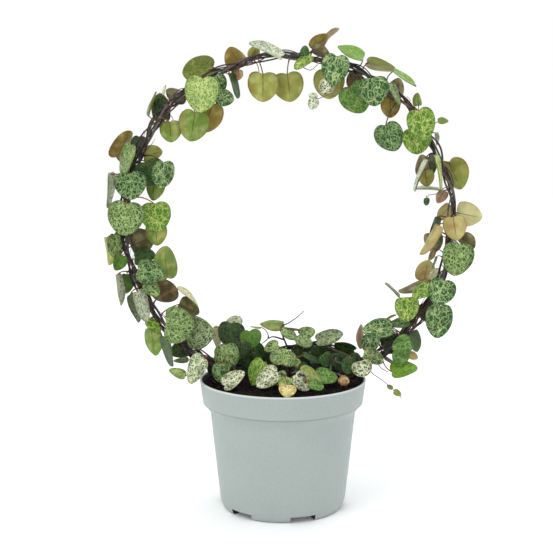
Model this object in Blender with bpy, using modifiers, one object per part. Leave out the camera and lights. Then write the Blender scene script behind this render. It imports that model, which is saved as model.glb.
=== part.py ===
"""Potted string of hearts on a wire hoop: pot, soil, hoop, twined vines and leafy sprigs.

Metres, +Z up, -Y front. The origin is the middle of the pot's base, where it meets the floor.
Sizes are named in millimetres and turned into metres where the shapes are made.
A leaf is placed as an eye in front of the plant sees it: x and z on the hoop's plane, and y,
its true depth. Every vine, sprig and shoot is a list of leaves and stems chosen by hand.
"""

import math
import random
from collections import namedtuple

import bmesh
import bpy
from mathutils import Vector

MM = 0.001
SEED = 7
WELD = 0.00001
SHARP_ANGLE = 35.0

# Where the eye stands, for the leaf tables.
EYE = Vector((-4.6, -820.0, 286.0))

# Pot: radius and height along its outline, down the outside and up the inside.
POT_OUTLINE = (
    (58.5, 94.0),
    (59.4, 94.0),
    (59.9, 93.4),
    (57.6, 76.8),
    (52.6, 71.0),
    (45.2, 3.4),
    (44.4, 0.9),
    (42.4, 0.0),
    (0.0, 0.0),
    (0.0, 6.6),
    (42.8, 6.6),
    (44.4, 8.0),
    (51.4, 71.8),
    (56.2, 77.4),
    (58.5, 94.0),
)
POT_SEGMENTS = 36
NOTCHES = 6
FIRST_NOTCH_ANGLE = 18.5
NOTCH_WIDTH = 18.5
NOTCH_HEIGHT = 4.6
NOTCH_INNER_RADIUS = 26.0
NOTCH_DEPTH = 32.0

# Soil: a plug that stands clear of the pot, heaped in the middle, its top in rings.
SOIL_EDGE = (56.8, 90.0)
SOIL_SIDE = (SOIL_EDGE, (55.5, 77.6), (50.8, 72.2), (43.6, 8.4), (0.0, 8.4))
SOIL_RINGS = (0.0, 12.0, 24.0, 36.0, 47.0)
SOIL_HEAP = 5.5
SOIL_BUMP = 1.6
SOIL_BUMPS_ABOVE_EDGE = 1.0
SOIL_SEGMENTS = 18
HOLE_GAP = 0.6
HOLE_TOP_Z = 110.0
HOLE_ROUNDING = 2

# Hoop: a wire bent to a circle open at the bottom, with a leg each side down into the soil.
HOOP_X = 4.0
HOOP_Z = 207.0
HOOP_RADIUS = 116.0
HOOP_END_ANGLE = 156.5
HOOP_BEND = 24.0
HOOP_FOOT_Z = 48.0
WIRE_RADIUS = 0.7
WIRE_STEP = 11.0
FOOT_HOLE_RADIUS = 5.2
FOOT_HOLE_GAP = 2.0

# Vines: strands wound round the wire, and one wound the other way that joins them.
Winding = namedtuple("Winding", "radius thickness pitch phase")
WINDINGS = (
    Winding(2.5, 0.95, 60.0, 0),
    Winding(2.5, 0.95, 60.0, 180),
    Winding(3.1, 0.95, -110.0, 50),
)
STRAND_STEP = 10.5
VINE_GAP = 0.5
VINE_FOOT = 3.0

# Leaves: one half of the outline, along from the notch and across, as shares of length and width.
HEART_HALF = ((-0.10, 0.20), (0.15, 0.49), (0.62, 0.40))
HEART_TIP = 0.88
HEART_MIDDLE = 0.38
BLADE_THICKNESS = 1.1
FOLD_RANGE = (4.0, 16.0)
CURL_RANGE = (0.02, 0.10)
OPPOSITE_SIZE = 0.82

# Petioles, sprig stems and thin shoots.
PETIOLE_WIDTH = 1.1
PETIOLE_BOW = 0.3
PETIOLE_LIFT = 0.6
LONG_PETIOLE = 6.0
SHORTEST_PETIOLE = 1.5
STEM_STEP = 9.0
ROOT_FOOT_Z = 58.0
ROOT_TOP_Z = 97.0

Leaf = namedtuple("Leaf", "x z y length width tip pitch roll mate", defaults=(None,))
# Leaves of each stretch of the hoop, with the clock angles it runs between.
# x, z: middle of the blade as seen. y: depth, less than 0 in front of the hoop.
# tip: way it points, 0 right, 90 up. pitch: tip leans to the eye.
# roll: turn about its length; past 90 either way the eye sees the underside.
# mate: depth of the opposite leaf hidden behind it, where there is one.
VINES = {
    "vine_low_left": (-180, -124, (
        Leaf(-68, 145, 10, 18, 17, -25, 0, 150),
        Leaf(-75, 133, -13, 24, 27, -4, 5, 5, 11),
        Leaf(-60, 127, -8, 24, 25, 2, 28, 0),
        Leaf(-93, 121, 7, 22, 19, -80, 0, 140),
        Leaf(-93, 132, -5, 15, 10, -45, 10, 48),
        Leaf(-83, 114, -7, 25, 19, -78, 0, -60),
        Leaf(-73, 115, 10, 18, 15, 195, 0, -38),
        Leaf(-73, 106.5, -2, 12, 10, 180, 0, -78),
        Leaf(-62, 100, -20, 24, 20, -124, 0, -50),
        Leaf(-76, 97, -10, 14, 11, 155, 0, -64),
    )),
    "vine_left": (-124, -101.6, (
        Leaf(-84, 177, 1, 26, 23, 97, 0, 136),
        Leaf(-95, 171, -9, 22, 18, -12, 0, 15, 12),
        Leaf(-94, 159, -9, 15, 12, -45, 0, 40),
        Leaf(-117, 178, -6, 13, 11, -110, 0, 35),
        Leaf(-117, 159, -9, 25, 18, -80, 0, 82),
        Leaf(-112, 163, 9, 16, 15, -95, 0, 45),
        Leaf(-106, 146, -3, 24, 20, -69, 0, 72),
        Leaf(-101, 147, -13, 25, 20, -72, 0, 67),
        Leaf(-84, 157, 8, 20, 19, -20, 0, 162),
        Leaf(-68, 154, -3, 21, 18, -38, 0, 88),
        Leaf(-99, 182, 2, 17, 17, 10, 0, 48),
    )),
    "vine_high_left": (-101.6, -58, (
        Leaf(-113, 261, 8, 24, 21, 62, 0, 120),
        Leaf(-110, 251, -8, 26, 22, -110, 0, -58),
        Leaf(-102, 260, 9, 18, 18, -100, 0, 55),
        Leaf(-92, 255, 4, 15, 14, 15, -20, 152),
        Leaf(-94, 242, -3, 20, 21, -70, 0, 12),
        Leaf(-85, 241, -9, 21, 20, -95, 0, 42),
        Leaf(-91, 231, 3, 18, 16, -95, 0, 150),
        Leaf(-108, 233, -15, 21, 23, -84, 12, 8, 10),
        Leaf(-122.5, 230, 2, 27, 22, -94, 0, 83),
        Leaf(-112, 210, -11, 26, 26, -98, 5, 0, 12),
        Leaf(-90, 211, -3, 23, 22, -85, 0, 12),
        Leaf(-90, 199, 0, 18, 17, -82, 0, 162),
        Leaf(-119, 190, -6, 20, 20, -85, 0, 61),
        Leaf(-124, 187, 13, 22, 20, -82, 0, 120),
        Leaf(-101, 193, 11, 20, 20, 25, 0, 170),
    )),
    "vine_upper_left": (-58, -24, (
        Leaf(-41, 294, -8.5, 14, 13, -10, 0, 20),
        Leaf(-45, 304, -3, 13, 13, -60, 0, 20),
        Leaf(-85, 287, 8, 21, 18, 102, 0, 35),
        Leaf(-92, 289, 3, 20, 14, 73, 0, 80),
        Leaf(-74, 296, 9, 17, 16, 160, 0, 130),
        Leaf(-79, 271, -1, 16, 16, -85, 0, 176),
        Leaf(-58, 313, 14, 25, 21, 192, 0, 20),
        Leaf(-57, 297, -12, 27, 24, -95, 8, 4, 11),
        Leaf(-63, 275, -4, 23, 22, -100, 0, 178),
        Leaf(-52, 281, 2, 23, 20, -106, 0, 170),
        Leaf(-83, 299, 2, 8, 6, 80, 0, 70),
    )),
    "vine_top_left": (-24, -4, (
        Leaf(-34, 303, -5, 20, 15, -70, 0, 70),
        Leaf(-33, 321, 6, 18, 17, 125, 0, 152),
        Leaf(-20, 325, 4, 10, 9, 70, 0, 160),
        Leaf(-31, 310, 0, 8, 7, -90, 0, 150),
        Leaf(-14, 302, -4, 22, 22, -90, 0, 178),
        Leaf(-20, 309, 2, 8, 7, 190, 0, 160),
    )),
    "vine_top_right": (-4, 23, (
        Leaf(-11, 327, -12, 27, 21, 153, 0, -67),
        Leaf(4, 302, 2, 22, 22, -82, 0, 180),
        Leaf(14, 319, -8, 16, 12, 215, 0, -48),
        Leaf(15, 326, -6, 8, 7, 90, 0, 20),
        Leaf(25, 332, 3, 17, 14, 45, 0, 132),
        Leaf(33, 337.5, 15, 14, 11, 42, 0, 112),
        Leaf(26, 326, -7, 14, 12, -20, 0, 130),
        Leaf(36, 314, -11, 22, 20, -100, 0, -12, 9),
        Leaf(32, 304, 2, 22, 22, -90, 0, 178),
        Leaf(30, 301.5, -8, 12, 12, -120, 0, 20),
    )),
    "vine_upper_right": (23, 63, (
        Leaf(112, 278, 3, 8, 7, 5, 0, 50),
        Leaf(108, 266, 2, 10, 7, -80, 0, 60),
        Leaf(48, 325, 0, 22, 17, 155, 0, -57),
        Leaf(67.5, 316, 9, 23, 18, -14, 0, 115),
        Leaf(84, 308, -1, 22, 12, -32, 0, 66),
        Leaf(63, 299, -14, 22, 22, -80, 0, 8, 9),
        Leaf(51, 294, -5, 23, 23, -60, 0, 10),
        Leaf(50, 307, 4, 13, 13, 100, 0, 30),
        Leaf(78, 297, -8, 18, 15, -62, 0, 64),
        Leaf(75, 288, 3, 16, 14, -90, 0, 172),
        Leaf(79, 300, 13, 16, 15, 80, 0, 150),
        Leaf(94, 292.5, 5, 10, 8, 100, 0, 150),
        Leaf(97, 276, -14, 24, 21, -75, 0, 10, 9),
        Leaf(94, 264.5, -8, 20, 21, -85, 0, 5),
        Leaf(75, 267, -6, 22, 21, -68, 0, -20),
    )),
    "vine_high_right": (63, 86, (
        Leaf(99, 247, 14, 17, 16, -110, 0, 130),
        Leaf(97, 241, -9, 26, 16, -116, 0, -87),
        Leaf(105, 248, 6, 18, 16, -85, 0, 62),
        Leaf(101, 238.5, 1, 13, 12, -80, 0, 160),
        Leaf(110, 243, -16, 27, 18, -76, 0, 73),
        Leaf(104, 230.5, 2, 22, 17, 173, 0, -87),
        Leaf(112, 225, 7, 11, 9, -120, 0, 140),
        Leaf(121, 241, 11, 24, 22, -65, 0, 140),
        Leaf(115, 214, 9, 15, 12, -130, 0, 140),
    )),
    "vine_right": (86, 117, (
        Leaf(131, 212, 3, 21, 18, -12, 0, 172),
        Leaf(122, 203, -13, 19, 17, -80, 0, 172),
        Leaf(107, 204, 2, 17, 15, -105, 0, 58),
        Leaf(105, 195, -11, 27, 18, -116, 0, 105),
        Leaf(107, 193, 12, 16, 14, -80, 0, 160),
        Leaf(111, 194, -7, 7, 6, -60, 0, 10),
        Leaf(106, 184, 3, 10, 7, -110, 0, 120),
        Leaf(108, 178, -4, 10, 7, -105, 0, 68),
        Leaf(131, 193, 5, 14, 12, -40, 0, 150),
        Leaf(124, 181, -9, 26, 23, -97, 0, 3, 12),
        Leaf(102, 171.5, 15, 17, 15, 80, 0, 178),
        Leaf(109, 168, 8, 13, 10, 70, 0, 40),
        Leaf(113, 157, -15.5, 21, 20, -105, 0, 0, 14),
        Leaf(95, 161, 2, 26, 18, 201, 0, 105),
        Leaf(100, 157, -12, 17, 14, 205, 0, -50),
    )),
    "vine_low_right": (117, 180, (
        Leaf(112, 136, -8, 27, 20, -92, 0, 4, 12),
        Leaf(103, 142, 3, 17, 15, -60, 0, 160),
        Leaf(89, 145, -8, 20, 18, -85, 0, 4, 8),
        Leaf(79, 158, -2, 16, 9, 133, 0, -80),
        Leaf(69, 130, -9, 25, 20, 185, 0, -56),
        Leaf(84, 134, -1, 18, 12, 190, 0, -62),
        Leaf(57, 124, 3, 19, 17, 100, 0, 112),
        Leaf(77, 138, 1, 10, 8, 35, 0, 110),
        Leaf(63, 119, -6, 15, 14, -100, 0, 10),
        Leaf(65, 109, -12, 17, 14, -22, 0, 45),
        Leaf(86, 118, -11, 16, 15, -150, 0, 10),
        Leaf(85, 109, -6, 14, 13, -90, 0, 5),
        Leaf(78, 120, 9, 18, 16, -100, 0, -15),
        Leaf(95, 121, 1, 17, 15, -70, 0, 50),
        Leaf(94, 110, 2, 8, 7, -20, 0, 40),
        Leaf(87, 100, -7, 21, 17, 14, 0, 57),
        Leaf(78, 105.5, 4, 13, 9, -30, 0, 80),
        Leaf(57.5, 101, -18, 14, 15, -75, 0, 0),
    )),
}

# Sprigs in the pot. roots: x, y where the first stems leave the soil. stems: points as x, z, y.
# The first stems start at the roots, one each; the others start on a stem given before them.
Sprig = namedtuple("Sprig", "radius roots stems leaves")
SPRIGS = {
    "crossing_vines": Sprig(1.1, ((-43, 16), (43, 15)), (
        ((-42, 103, 16), (-26, 109, 15), (-8, 114, 15), (4, 116, 15), (26, 119, 13), (44, 113, 13)),
        ((42, 103, 15), (36, 112, 15), (20, 116, 15), (4.5, 116.3, 15.3), (-14, 109, 16), (-34, 103, 17)),
        ((3.6, 115.7, 15.2), (1, 122, 15), (-2, 131, 16), (4, 134, 14), (11, 139, 12), (15, 143, 11)),
        ((1.2, 121.8, 15.2), (-8, 124, 15), (-15, 119, 14)),
        ((26, 118.8, 12.8), (33, 116, 0), (39, 113.6, -14), (46, 111, -20), (50, 107.5, -22.5)),
        (
            (-33.5, 106.2, 15.6), (-20, 108, 12), (-4, 105, 11),
            (12, 107, 11), (26, 107, 12), (37.5, 110, 14.6),
        ),
    ), (
        Leaf(-7, 133, 17, 19, 15, 184, 0, 110),
        Leaf(-19, 131, 13, 9, 7, 178, 0, 76),
        Leaf(6.5, 129, 15, 14, 12, 5, 0, 106),
        Leaf(4, 125.5, 6, 15, 12, -28, 0, 62),
        Leaf(17, 127, 20, 13, 11, 15, 0, 42),
        Leaf(15.2, 120.6, 4.6, 15, 13, 75, -60, 0),
        Leaf(33, 123.5, 9, 22, 16, 19, 0, 57),
        Leaf(45, 116, 9, 17, 15, 165, 0, 40),
        Leaf(-6, 108, 8, 18, 16, -80, 0, 15),
        Leaf(12, 110, 9, 20, 15, -160, 10, -20),
        Leaf(27, 111, 8, 18, 16, -70, 0, 20),
        Leaf(39, 107, 9, 17, 15, -110, 0, -15),
        Leaf(14, 102.5, 3, 16, 13, -20, -10, 10),
        Leaf(-49, 101, 9, 15, 13, -90, 0, 15),
    )),
    "sprig_left_back": Sprig(0.9, ((-27, 4),), (
        ((-28, 104, 4), (-31, 116, 3), (-28, 128, 12)),
        ((-27.8, 103.3, 4.2), (-20, 112, 2)),
    ), (
        Leaf(-35, 133, 17, 14, 13, 178, 10, -20),
        Leaf(-38, 126, 5, 20, 19, -95, 20, 10),
        Leaf(-23, 122.5, -2, 15, 16, -80, 25, 0),
        Leaf(-48, 124, 10, 18, 13, -75, 0, 62),
        Leaf(-31, 113, 10, 17, 16, -60, 10, 20),
        Leaf(-19, 113, 8, 15, 14, -30, 0, 30),
        Leaf(-30, 114, -9, 16, 14, -95, 0, 10),
        Leaf(-23, 104, -3.5, 16, 14, -70, 0, -15),
    )),
    "sprig_left_front": Sprig(0.9, ((-31, -17),), (
        ((-34, 98, -18), (-38, 108, -12), (-42, 117, -9)),
    ), (
        Leaf(-40, 110, -15, 21, 18, -78, 0, 0),
        Leaf(-46, 112, -6.5, 16, 12, -100, 0, 52),
        Leaf(-45, 98, -21, 15, 13, -92, 10, 10),
        Leaf(-36, 92.5, -32, 20, 13, 36, 0, 38),
    )),
    "sprig_middle_left": Sprig(0.8, ((-7, -22),), (
        ((-8, 97, -24), (-12, 104, -22)),
        ((-7.8, 96.4, -23.8), (-2, 97, -36), (1, 96, -44)),
    ), (
        Leaf(-18, 98, -26.5, 22, 18, -120, 0, -52),
        Leaf(-11, 93.5, -37, 21, 15, 214, 0, -32),
        Leaf(-2, 93, -29, 14, 11, 205, 0, -40),
        Leaf(1.5, 89.5, -42, 11, 10, -95, 20, 5),
        Leaf(3, 84.3, -52, 14, 13, -100, 58, 0),
    )),
    "sprig_middle": Sprig(0.8, ((5, -4),), (
        ((5, 100, -5), (3, 106, -8), (-2, 113, -4)),
    ), (
        Leaf(0, 109, -14, 18, 20, 80, -50, 0),
        Leaf(-8, 116.5, -5, 12, 9, 200, 0, -30),
        Leaf(10, 104.5, -11, 8, 7, -20, 0, 30),
        Leaf(20, 108, -3, 15, 11, -26, 0, 74),
        Leaf(-9, 101, -11, 15, 13, -120, 0, 15),
        Leaf(15, 98, -22, 15, 12, -40, 0, 20),
    )),
    "sprig_right_front": Sprig(0.8, ((15, -26),), (
        ((14, 97, -28), (10, 98, -36), (6, 97, -40)),
        ((14.2, 96.4, -27.8), (24, 98, -30)),
        ((9.5, 97.8, -36.3), (16, 95, -47)),
    ), (
        Leaf(13.5, 91, -41, 17, 13, -48, 0, 22),
        Leaf(20, 96, -35, 20, 15, -24, 0, 60),
        Leaf(31, 94.5, -24, 18, 14, -8, 0, 45),
        Leaf(24, 88, -49, 12, 10, -14, 0, 50),
    )),
    "sprig_right": Sprig(0.9, ((33, -10),), (
        ((34, 98, -12), (36, 106, -10), (43, 104, -14)),
        ((33.8, 97.3, -11.8), (41, 96, -20), (44, 92, -24)),
    ), (
        Leaf(31, 107, -10, 12, 11, -60, 0, 20),
        Leaf(47, 103, -16, 14, 12, -95, 0, 20),
        Leaf(40, 106, -9, 15, 13, -80, 0, 15),
        Leaf(51, 106, -10, 13, 12, -60, 0, 0),
    )),
}

# Thin shoots that leave a vine or sprig: points as x, z, y, and the leaves at their ends.
Shoot = namedtuple("Shoot", "radius points leaves")
SHOOTS = {
    "vine_low_left": (
        Shoot(0.6, ((-64, 108, -4), (-66, 104, -6), (-60, 102, -9)), ()),
    ),
    "vine_upper_left": (
        Shoot(0.6, ((-86, 281, -3), (-79, 277, -5), (-77, 279, -5), (-79, 282, -4)), ()),
    ),
    "vine_top_right": (
        Shoot(0.5, ((13, 316, -1), (19, 313, -1), (24, 317, -1)), ()),
    ),
    "vine_upper_right": (
        Shoot(0.55, ((50, 306, -2), (45, 301, -9), (36, 298, -16), (25, 293.5, -16), (18, 292.5, -15)), (
            Leaf(21, 290, -17, 9, 8, -110, 0, 15),
            Leaf(21, 295, -14, 7, 6, 160, 0, -40),
        )),
        Shoot(0.5, ((86, 290, -3), (89, 292, -4), (87, 295, -4), (85, 292, -3)), ()),
    ),
    "vine_high_right": (
        Shoot(0.5, ((112, 230, -2), (109, 227, -4), (103, 226, -6), (101.5, 223, -7)), (
            Leaf(101.5, 221.5, -7, 6, 5, -90, 0, 20),
        )),
    ),
    "vine_low_right": (
        Shoot(0.6, ((60, 108, -8), (64, 98, -14), (72, 92, -16), (80, 85, -17), (86, 79, -17)), (
            Leaf(77.5, 87, -15, 5, 4, 150, 0, 20),
            Leaf(83, 82.5, -19, 7, 5, -30, 0, 30),
        )),
        Shoot(0.7, ((66, 110, -3), (70, 102, -5), (76, 98, -6)), ()),
    ),
}

# Tubers, each on the sprig it is named for: its middle as x, z, y, and its radius.
Tuber = namedtuple("Tuber", "x z y radius")
TUBERS = {"sprig_right": Tuber(44, 91.5, -25, 3.8)}

# Material of each kind of piece: colour and roughness.
FINISHES = {
    "pot_plastic": ((0.42, 0.50, 0.49), 0.42),
    "soil": ((0.030, 0.022, 0.018), 0.95),
    "hoop_wire": ((0.05, 0.06, 0.05), 0.5),
    "foliage": ((0.22, 0.33, 0.12), 0.5),
}


def seen(x, z, y):
    """The point at depth y that the eye sees at x, z of the hoop's plane."""
    on_plane = Vector((x, 0.0, z))
    return EYE + (on_plane - EYE) * seen_scale(y)


def seen_scale(y):
    """True size at depth y of a thing that looks one millimetre long on the hoop's plane."""
    return (y - EYE.y) / -EYE.y


def smooth_path(points, step):
    """Points about a step apart on a smooth curve through the points given."""
    ends = [points[0] * 2 - points[1], *points, points[-1] * 2 - points[-2]]
    path = [points[0]]
    for a, b, c, d in zip(ends, ends[1:], ends[2:], ends[3:]):
        pieces = max(1, round((c - b).length / step))
        for i in range(1, pieces + 1):
            t = i / pieces
            line = 2 * b + (c - a) * t
            square = (2 * a - 5 * b + 4 * c - d) * t**2
            cube = (3 * b - a - 3 * c + d) * t**3
            path.append((line + square + cube) / 2)
    return path


def nearest(point, paths):
    """The point of the paths that lies nearest."""
    best = paths[0][0]
    for path in paths:
        for a, b in zip(path, path[1:]):
            run = b - a
            share = min(1.0, max(0.0, (point - a).dot(run) / run.length_squared))
            found = a + share * run
            if (found - point).length < (best - point).length:
                best = found
    return best


# The hoop's middle line.


def hoop_lengths():
    """Length of a leg, of a bend and of the circle."""
    turn = math.radians(HOOP_END_ANGLE - 90.0)
    end_z = HOOP_Z + HOOP_RADIUS * math.cos(math.radians(HOOP_END_ANGLE))
    leg = end_z - HOOP_BEND * math.sin(turn) - HOOP_FOOT_Z
    return leg, HOOP_BEND * turn, HOOP_RADIUS * 2 * math.radians(HOOP_END_ANGLE)


def hoop_total():
    leg, bend, circle = hoop_lengths()
    return 2 * (leg + bend) + circle


def hoop_length_at(clock):
    """Distance along the hoop from its left foot to a clock angle, 0 at the top."""
    leg, bend, _ = hoop_lengths()
    if abs(clock) > HOOP_END_ANGLE:
        return 0.0 if clock < 0 else hoop_total()
    return leg + bend + HOOP_RADIUS * math.radians(clock + HOOP_END_ANGLE)


def hoop_at(distance):
    """Point and outward direction of the hoop's middle line at a distance along it."""
    leg, bend, circle = hoop_lengths()
    side = 1.0 if distance > hoop_total() / 2 else -1.0
    past_circle = max(distance, hoop_total() - distance) - leg - bend - circle
    end = math.radians(HOOP_END_ANGLE)
    if past_circle <= 0:
        clock = end + past_circle / HOOP_RADIUS
        out = Vector((math.sin(clock), 0.0, math.cos(clock)))
        place = out * HOOP_RADIUS
    else:
        bend_middle = Vector((math.sin(end), 0.0, math.cos(end))) * (HOOP_RADIUS + HOOP_BEND)
        clock = end - min(past_circle, bend) / HOOP_BEND
        out = Vector((math.sin(clock), 0.0, math.cos(clock)))
        place = bend_middle - out * HOOP_BEND
        place.z -= max(past_circle - bend, 0.0)
    out.x *= side
    return Vector((HOOP_X + side * place.x, 0.0, HOOP_Z + place.z)), out


def strand(winding, start, end):
    """Middle line of one strand, wound round the hoop from start to end along it."""
    pieces = max(2, round((end - start) / STRAND_STEP))
    path = []
    for i in range(pieces + 1):
        distance = start + (end - start) * i / pieces
        place, out = hoop_at(distance)
        turn = 2 * math.pi * distance / winding.pitch + math.radians(winding.phase)
        offset = out * math.cos(turn) + Vector((0.0, math.sin(turn), 0.0))
        path.append(place + winding.radius * offset)
    return path


# Objects, modifiers and materials.


def new_collection(name):
    made = bpy.data.collections.new(name)
    bpy.context.scene.collection.children.link(made)
    return made


def add_object(name, data, collection):
    made = bpy.data.objects.new(name, data)
    collection.objects.link(made)
    return made


def finish(obj, finish_name):
    """Gives the object its material and smooth shading, with sharp edges kept."""
    material = bpy.data.materials.get(finish_name)
    if material is None:
        colour, roughness = FINISHES[finish_name]
        material = bpy.data.materials.new(finish_name)
        material.use_nodes = True
        shader = material.node_tree.nodes["Principled BSDF"]
        shader.inputs["Base Color"].default_value = (*colour, 1.0)
        shader.inputs["Roughness"].default_value = roughness
    obj.data.materials.clear()
    obj.data.materials.append(material)
    if obj.type == "MESH":
        obj.data.shade_smooth()
        obj.data.set_sharp_from_angle(angle=math.radians(SHARP_ANGLE))


def made_real(objects):
    """Turns curves and modifiers into plain closed meshes, all at once."""
    graph = bpy.context.evaluated_depsgraph_get()
    meshes = []
    for obj in objects:
        evaluated = obj.evaluated_get(graph)
        meshes.append(bpy.data.meshes.new_from_object(evaluated))
        meshes[-1].transform(evaluated.matrix_world)
    real = []
    for obj, mesh in zip(objects, meshes):
        welded = bmesh.new()
        welded.from_mesh(mesh)
        bmesh.ops.remove_doubles(welded, verts=welded.verts, dist=WELD)
        welded.to_mesh(mesh)
        welded.free()
        name, home = obj.name, obj.users_collection[0]
        bpy.data.objects.remove(obj)
        real.append(add_object(name, mesh, home))
    return real


def mark_cutter(cutter):
    """Shows a cutter as wires and keeps it out of renders."""
    cutter.hide_render = True
    cutter.display_type = "WIRE"


def boolean(target, operation, pieces, solver="EXACT"):
    """Joins the pieces to the target or cuts them out of it, and removes them."""
    modifier = target.modifiers.new("boolean", "BOOLEAN")
    modifier.operation = operation
    modifier.operand_type = "COLLECTION"
    modifier.collection = pieces
    modifier.solver = solver
    result = made_real([target])[0]
    for piece in list(pieces.objects):
        bpy.data.objects.remove(piece)
    bpy.data.collections.remove(pieces)
    return result


def drop_scraps(mesh):
    """Keeps the largest body of a mesh: a union can cut off a corner or seal a hollow."""
    shape = bmesh.new()
    shape.from_mesh(mesh)
    bodies = []
    left = set(shape.faces)
    while left:
        body = set()
        border = {left.pop()}
        while border:
            body |= border
            reached = {face for old in border for edge in old.edges for face in edge.link_faces}
            border = reached - body
        left -= body
        bodies.append(body)
    largest = max(bodies, key=len)
    scraps = [face for face in shape.faces if face not in largest]
    bmesh.ops.delete(shape, geom=scraps, context="FACES")
    shape.to_mesh(mesh)
    shape.free()


def turned(name, outline, segments, collection):
    """A solid turned from an outline that runs down its outer side."""
    mesh = bpy.data.meshes.new(name)
    points = [Vector((radius, 0.0, z)) * MM for radius, z in outline]
    mesh.from_pydata(points, [(i, i + 1) for i in range(len(points) - 1)], [])
    made = add_object(name, mesh, collection)
    screw = made.modifiers.new("screw", "SCREW")
    screw.steps = screw.render_steps = segments
    screw.use_merge_vertices = True
    screw.merge_threshold = WELD
    return made


def bar(name, path, radius, collection, resolution=0):
    """A round bar along a path."""
    curve = bpy.data.curves.new(name, "CURVE")
    curve.dimensions = "3D"
    curve.bevel_depth = radius * MM
    curve.bevel_resolution = resolution
    curve.use_fill_caps = True
    spline = curve.splines.new("POLY")
    spline.points.add(len(path) - 1)
    for point, place in zip(spline.points, path):
        point.co = (*(place * MM), 1.0)
    return add_object(name, curve, collection)


# Leaves.


def leaf_axes(leaf):
    """Directions of a leaf: along to the tip, across, and out of its upper side."""
    tip, pitch, roll = (math.radians(angle) for angle in (leaf.tip, leaf.pitch, leaf.roll))
    flat = Vector((math.cos(tip), 0.0, math.sin(tip)))
    to_eye = Vector((0.0, -1.0, 0.0))
    along = flat * math.cos(pitch) + to_eye * math.sin(pitch)
    face = to_eye * math.cos(pitch) - flat * math.sin(pitch)
    up = face * math.cos(roll) + face.cross(along) * math.sin(roll)
    return along, up.cross(along), up


def leaf_base(leaf):
    """Where the petiole meets the blade."""
    return seen(leaf.x, leaf.z, leaf.y) - leaf_axes(leaf)[0] * HEART_MIDDLE * true_size(leaf)[0]


def true_size(leaf):
    return leaf.length * seen_scale(leaf.y), leaf.width * seen_scale(leaf.y)


def opposite(leaf):
    """The leaf hidden behind this one, its upper side turned to the back."""
    return leaf._replace(
        y=leaf.mate,
        length=leaf.length * OPPOSITE_SIZE,
        width=leaf.width * OPPOSITE_SIZE,
        roll=leaf.roll + 180.0,
        mate=None,
    )


def with_opposites(leaves):
    return [*leaves, *(opposite(leaf) for leaf in leaves if leaf.mate is not None)]


def petiole_ribs(leaf, paths):
    """Pairs of points along a bowed petiole, from the middle of the nearest stem to the blade."""
    base = leaf_base(leaf)
    along, across, up = leaf_axes(leaf)
    end = nearest(base, paths)
    if (end - base).length < SHORTEST_PETIOLE:
        end = base - along * SHORTEST_PETIOLE
    length = (base - end).length
    bend = (base + end) / 2 - (along + PETIOLE_LIFT * up) * length * PETIOLE_BOW
    steps = 2 if length > LONG_PETIOLE else 1
    ribs = []
    for i in range(steps):
        t = 1 - i / steps
        place = base * (1 - t) ** 2 + bend * 2 * t * (1 - t) + end * t**2
        run = ((bend - base) * (1 - t) + (end - bend) * t).normalized()
        side = (across - run * across.dot(run)).normalized() * PETIOLE_WIDTH / 2
        ribs += [place - side, place + side]
    return ribs


def leaf_solid(name, leaf, paths, draw, collection):
    """A heart-shaped blade on its petiole, folded along the midrib and curled at the tip."""
    base = leaf_base(leaf)
    length, width = true_size(leaf)
    along, across, up = leaf_axes(leaf)
    fold = math.tan(math.radians(draw.uniform(*FOLD_RANGE)))
    curl = draw.uniform(*CURL_RANGE)
    right = [(0.0, -PETIOLE_WIDTH / 2), *((a * length, -b * width) for a, b in HEART_HALF)]
    left = [(a, -b) for a, b in reversed(right)]
    ribs = petiole_ribs(leaf, paths)
    points = list(ribs)
    for a, b in (*right, (HEART_TIP * length, 0.0), *left):
        height = fold * (abs(b) - PETIOLE_WIDTH / 2) - curl * a * a / length
        points.append(base + a * along + b * across + max(height, -length) * up)
    first, last = len(ribs), len(points) - 1
    tip = first + len(right)
    faces = [(first, i, i + 1) for i in range(first + 1, tip)]
    faces += [(last, i, i + 1) for i in range(tip, last - 1)]
    faces.append((first, tip, last))
    for i in range(0, first, 2):
        right_next, left_next = (i + 2, i + 3) if i + 2 < first else (first, last)
        faces += [(i, right_next, left_next), (i, left_next, i + 1)]
    mesh = bpy.data.meshes.new(name)
    mesh.from_pydata([point * MM for point in points], [], faces)
    made = add_object(name, mesh, collection)
    thicken = made.modifiers.new("thicken", "SOLIDIFY")
    thicken.thickness = BLADE_THICKNESS * MM
    thicken.offset = 0.0
    return made


# Pieces.


def make_pot(parts):
    pot = turned("pot", POT_OUTLINE, POT_SEGMENTS, parts)
    cutters = new_collection("notch_cutters")
    for i in range(NOTCHES):
        angle = math.radians(FIRST_NOTCH_ANGLE - 90.0 + 360.0 * i / NOTCHES)
        bpy.ops.mesh.primitive_cube_add(size=1.0)
        cutter = bpy.context.object
        cutter.name = f"notch_{i}"
        reach = (NOTCH_INNER_RADIUS + NOTCH_DEPTH / 2) * MM
        cutter.scale = Vector((NOTCH_DEPTH, NOTCH_WIDTH, 2 * NOTCH_HEIGHT)) * MM
        cutter.location = (reach * math.cos(angle), reach * math.sin(angle), 0.0)
        cutter.rotation_euler = (0.0, 0.0, angle)
        mark_cutter(cutter)
        cutter.users_collection[0].objects.unlink(cutter)
        cutters.objects.link(cutter)
    finish(boolean(pot, "DIFFERENCE", cutters), "pot_plastic")


def soil_top(radius):
    """Height of the soil at a distance from the middle."""
    edge_radius, edge_z = SOIL_EDGE
    return edge_z + SOIL_HEAP * (1 - (radius / edge_radius) ** 2)


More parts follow.
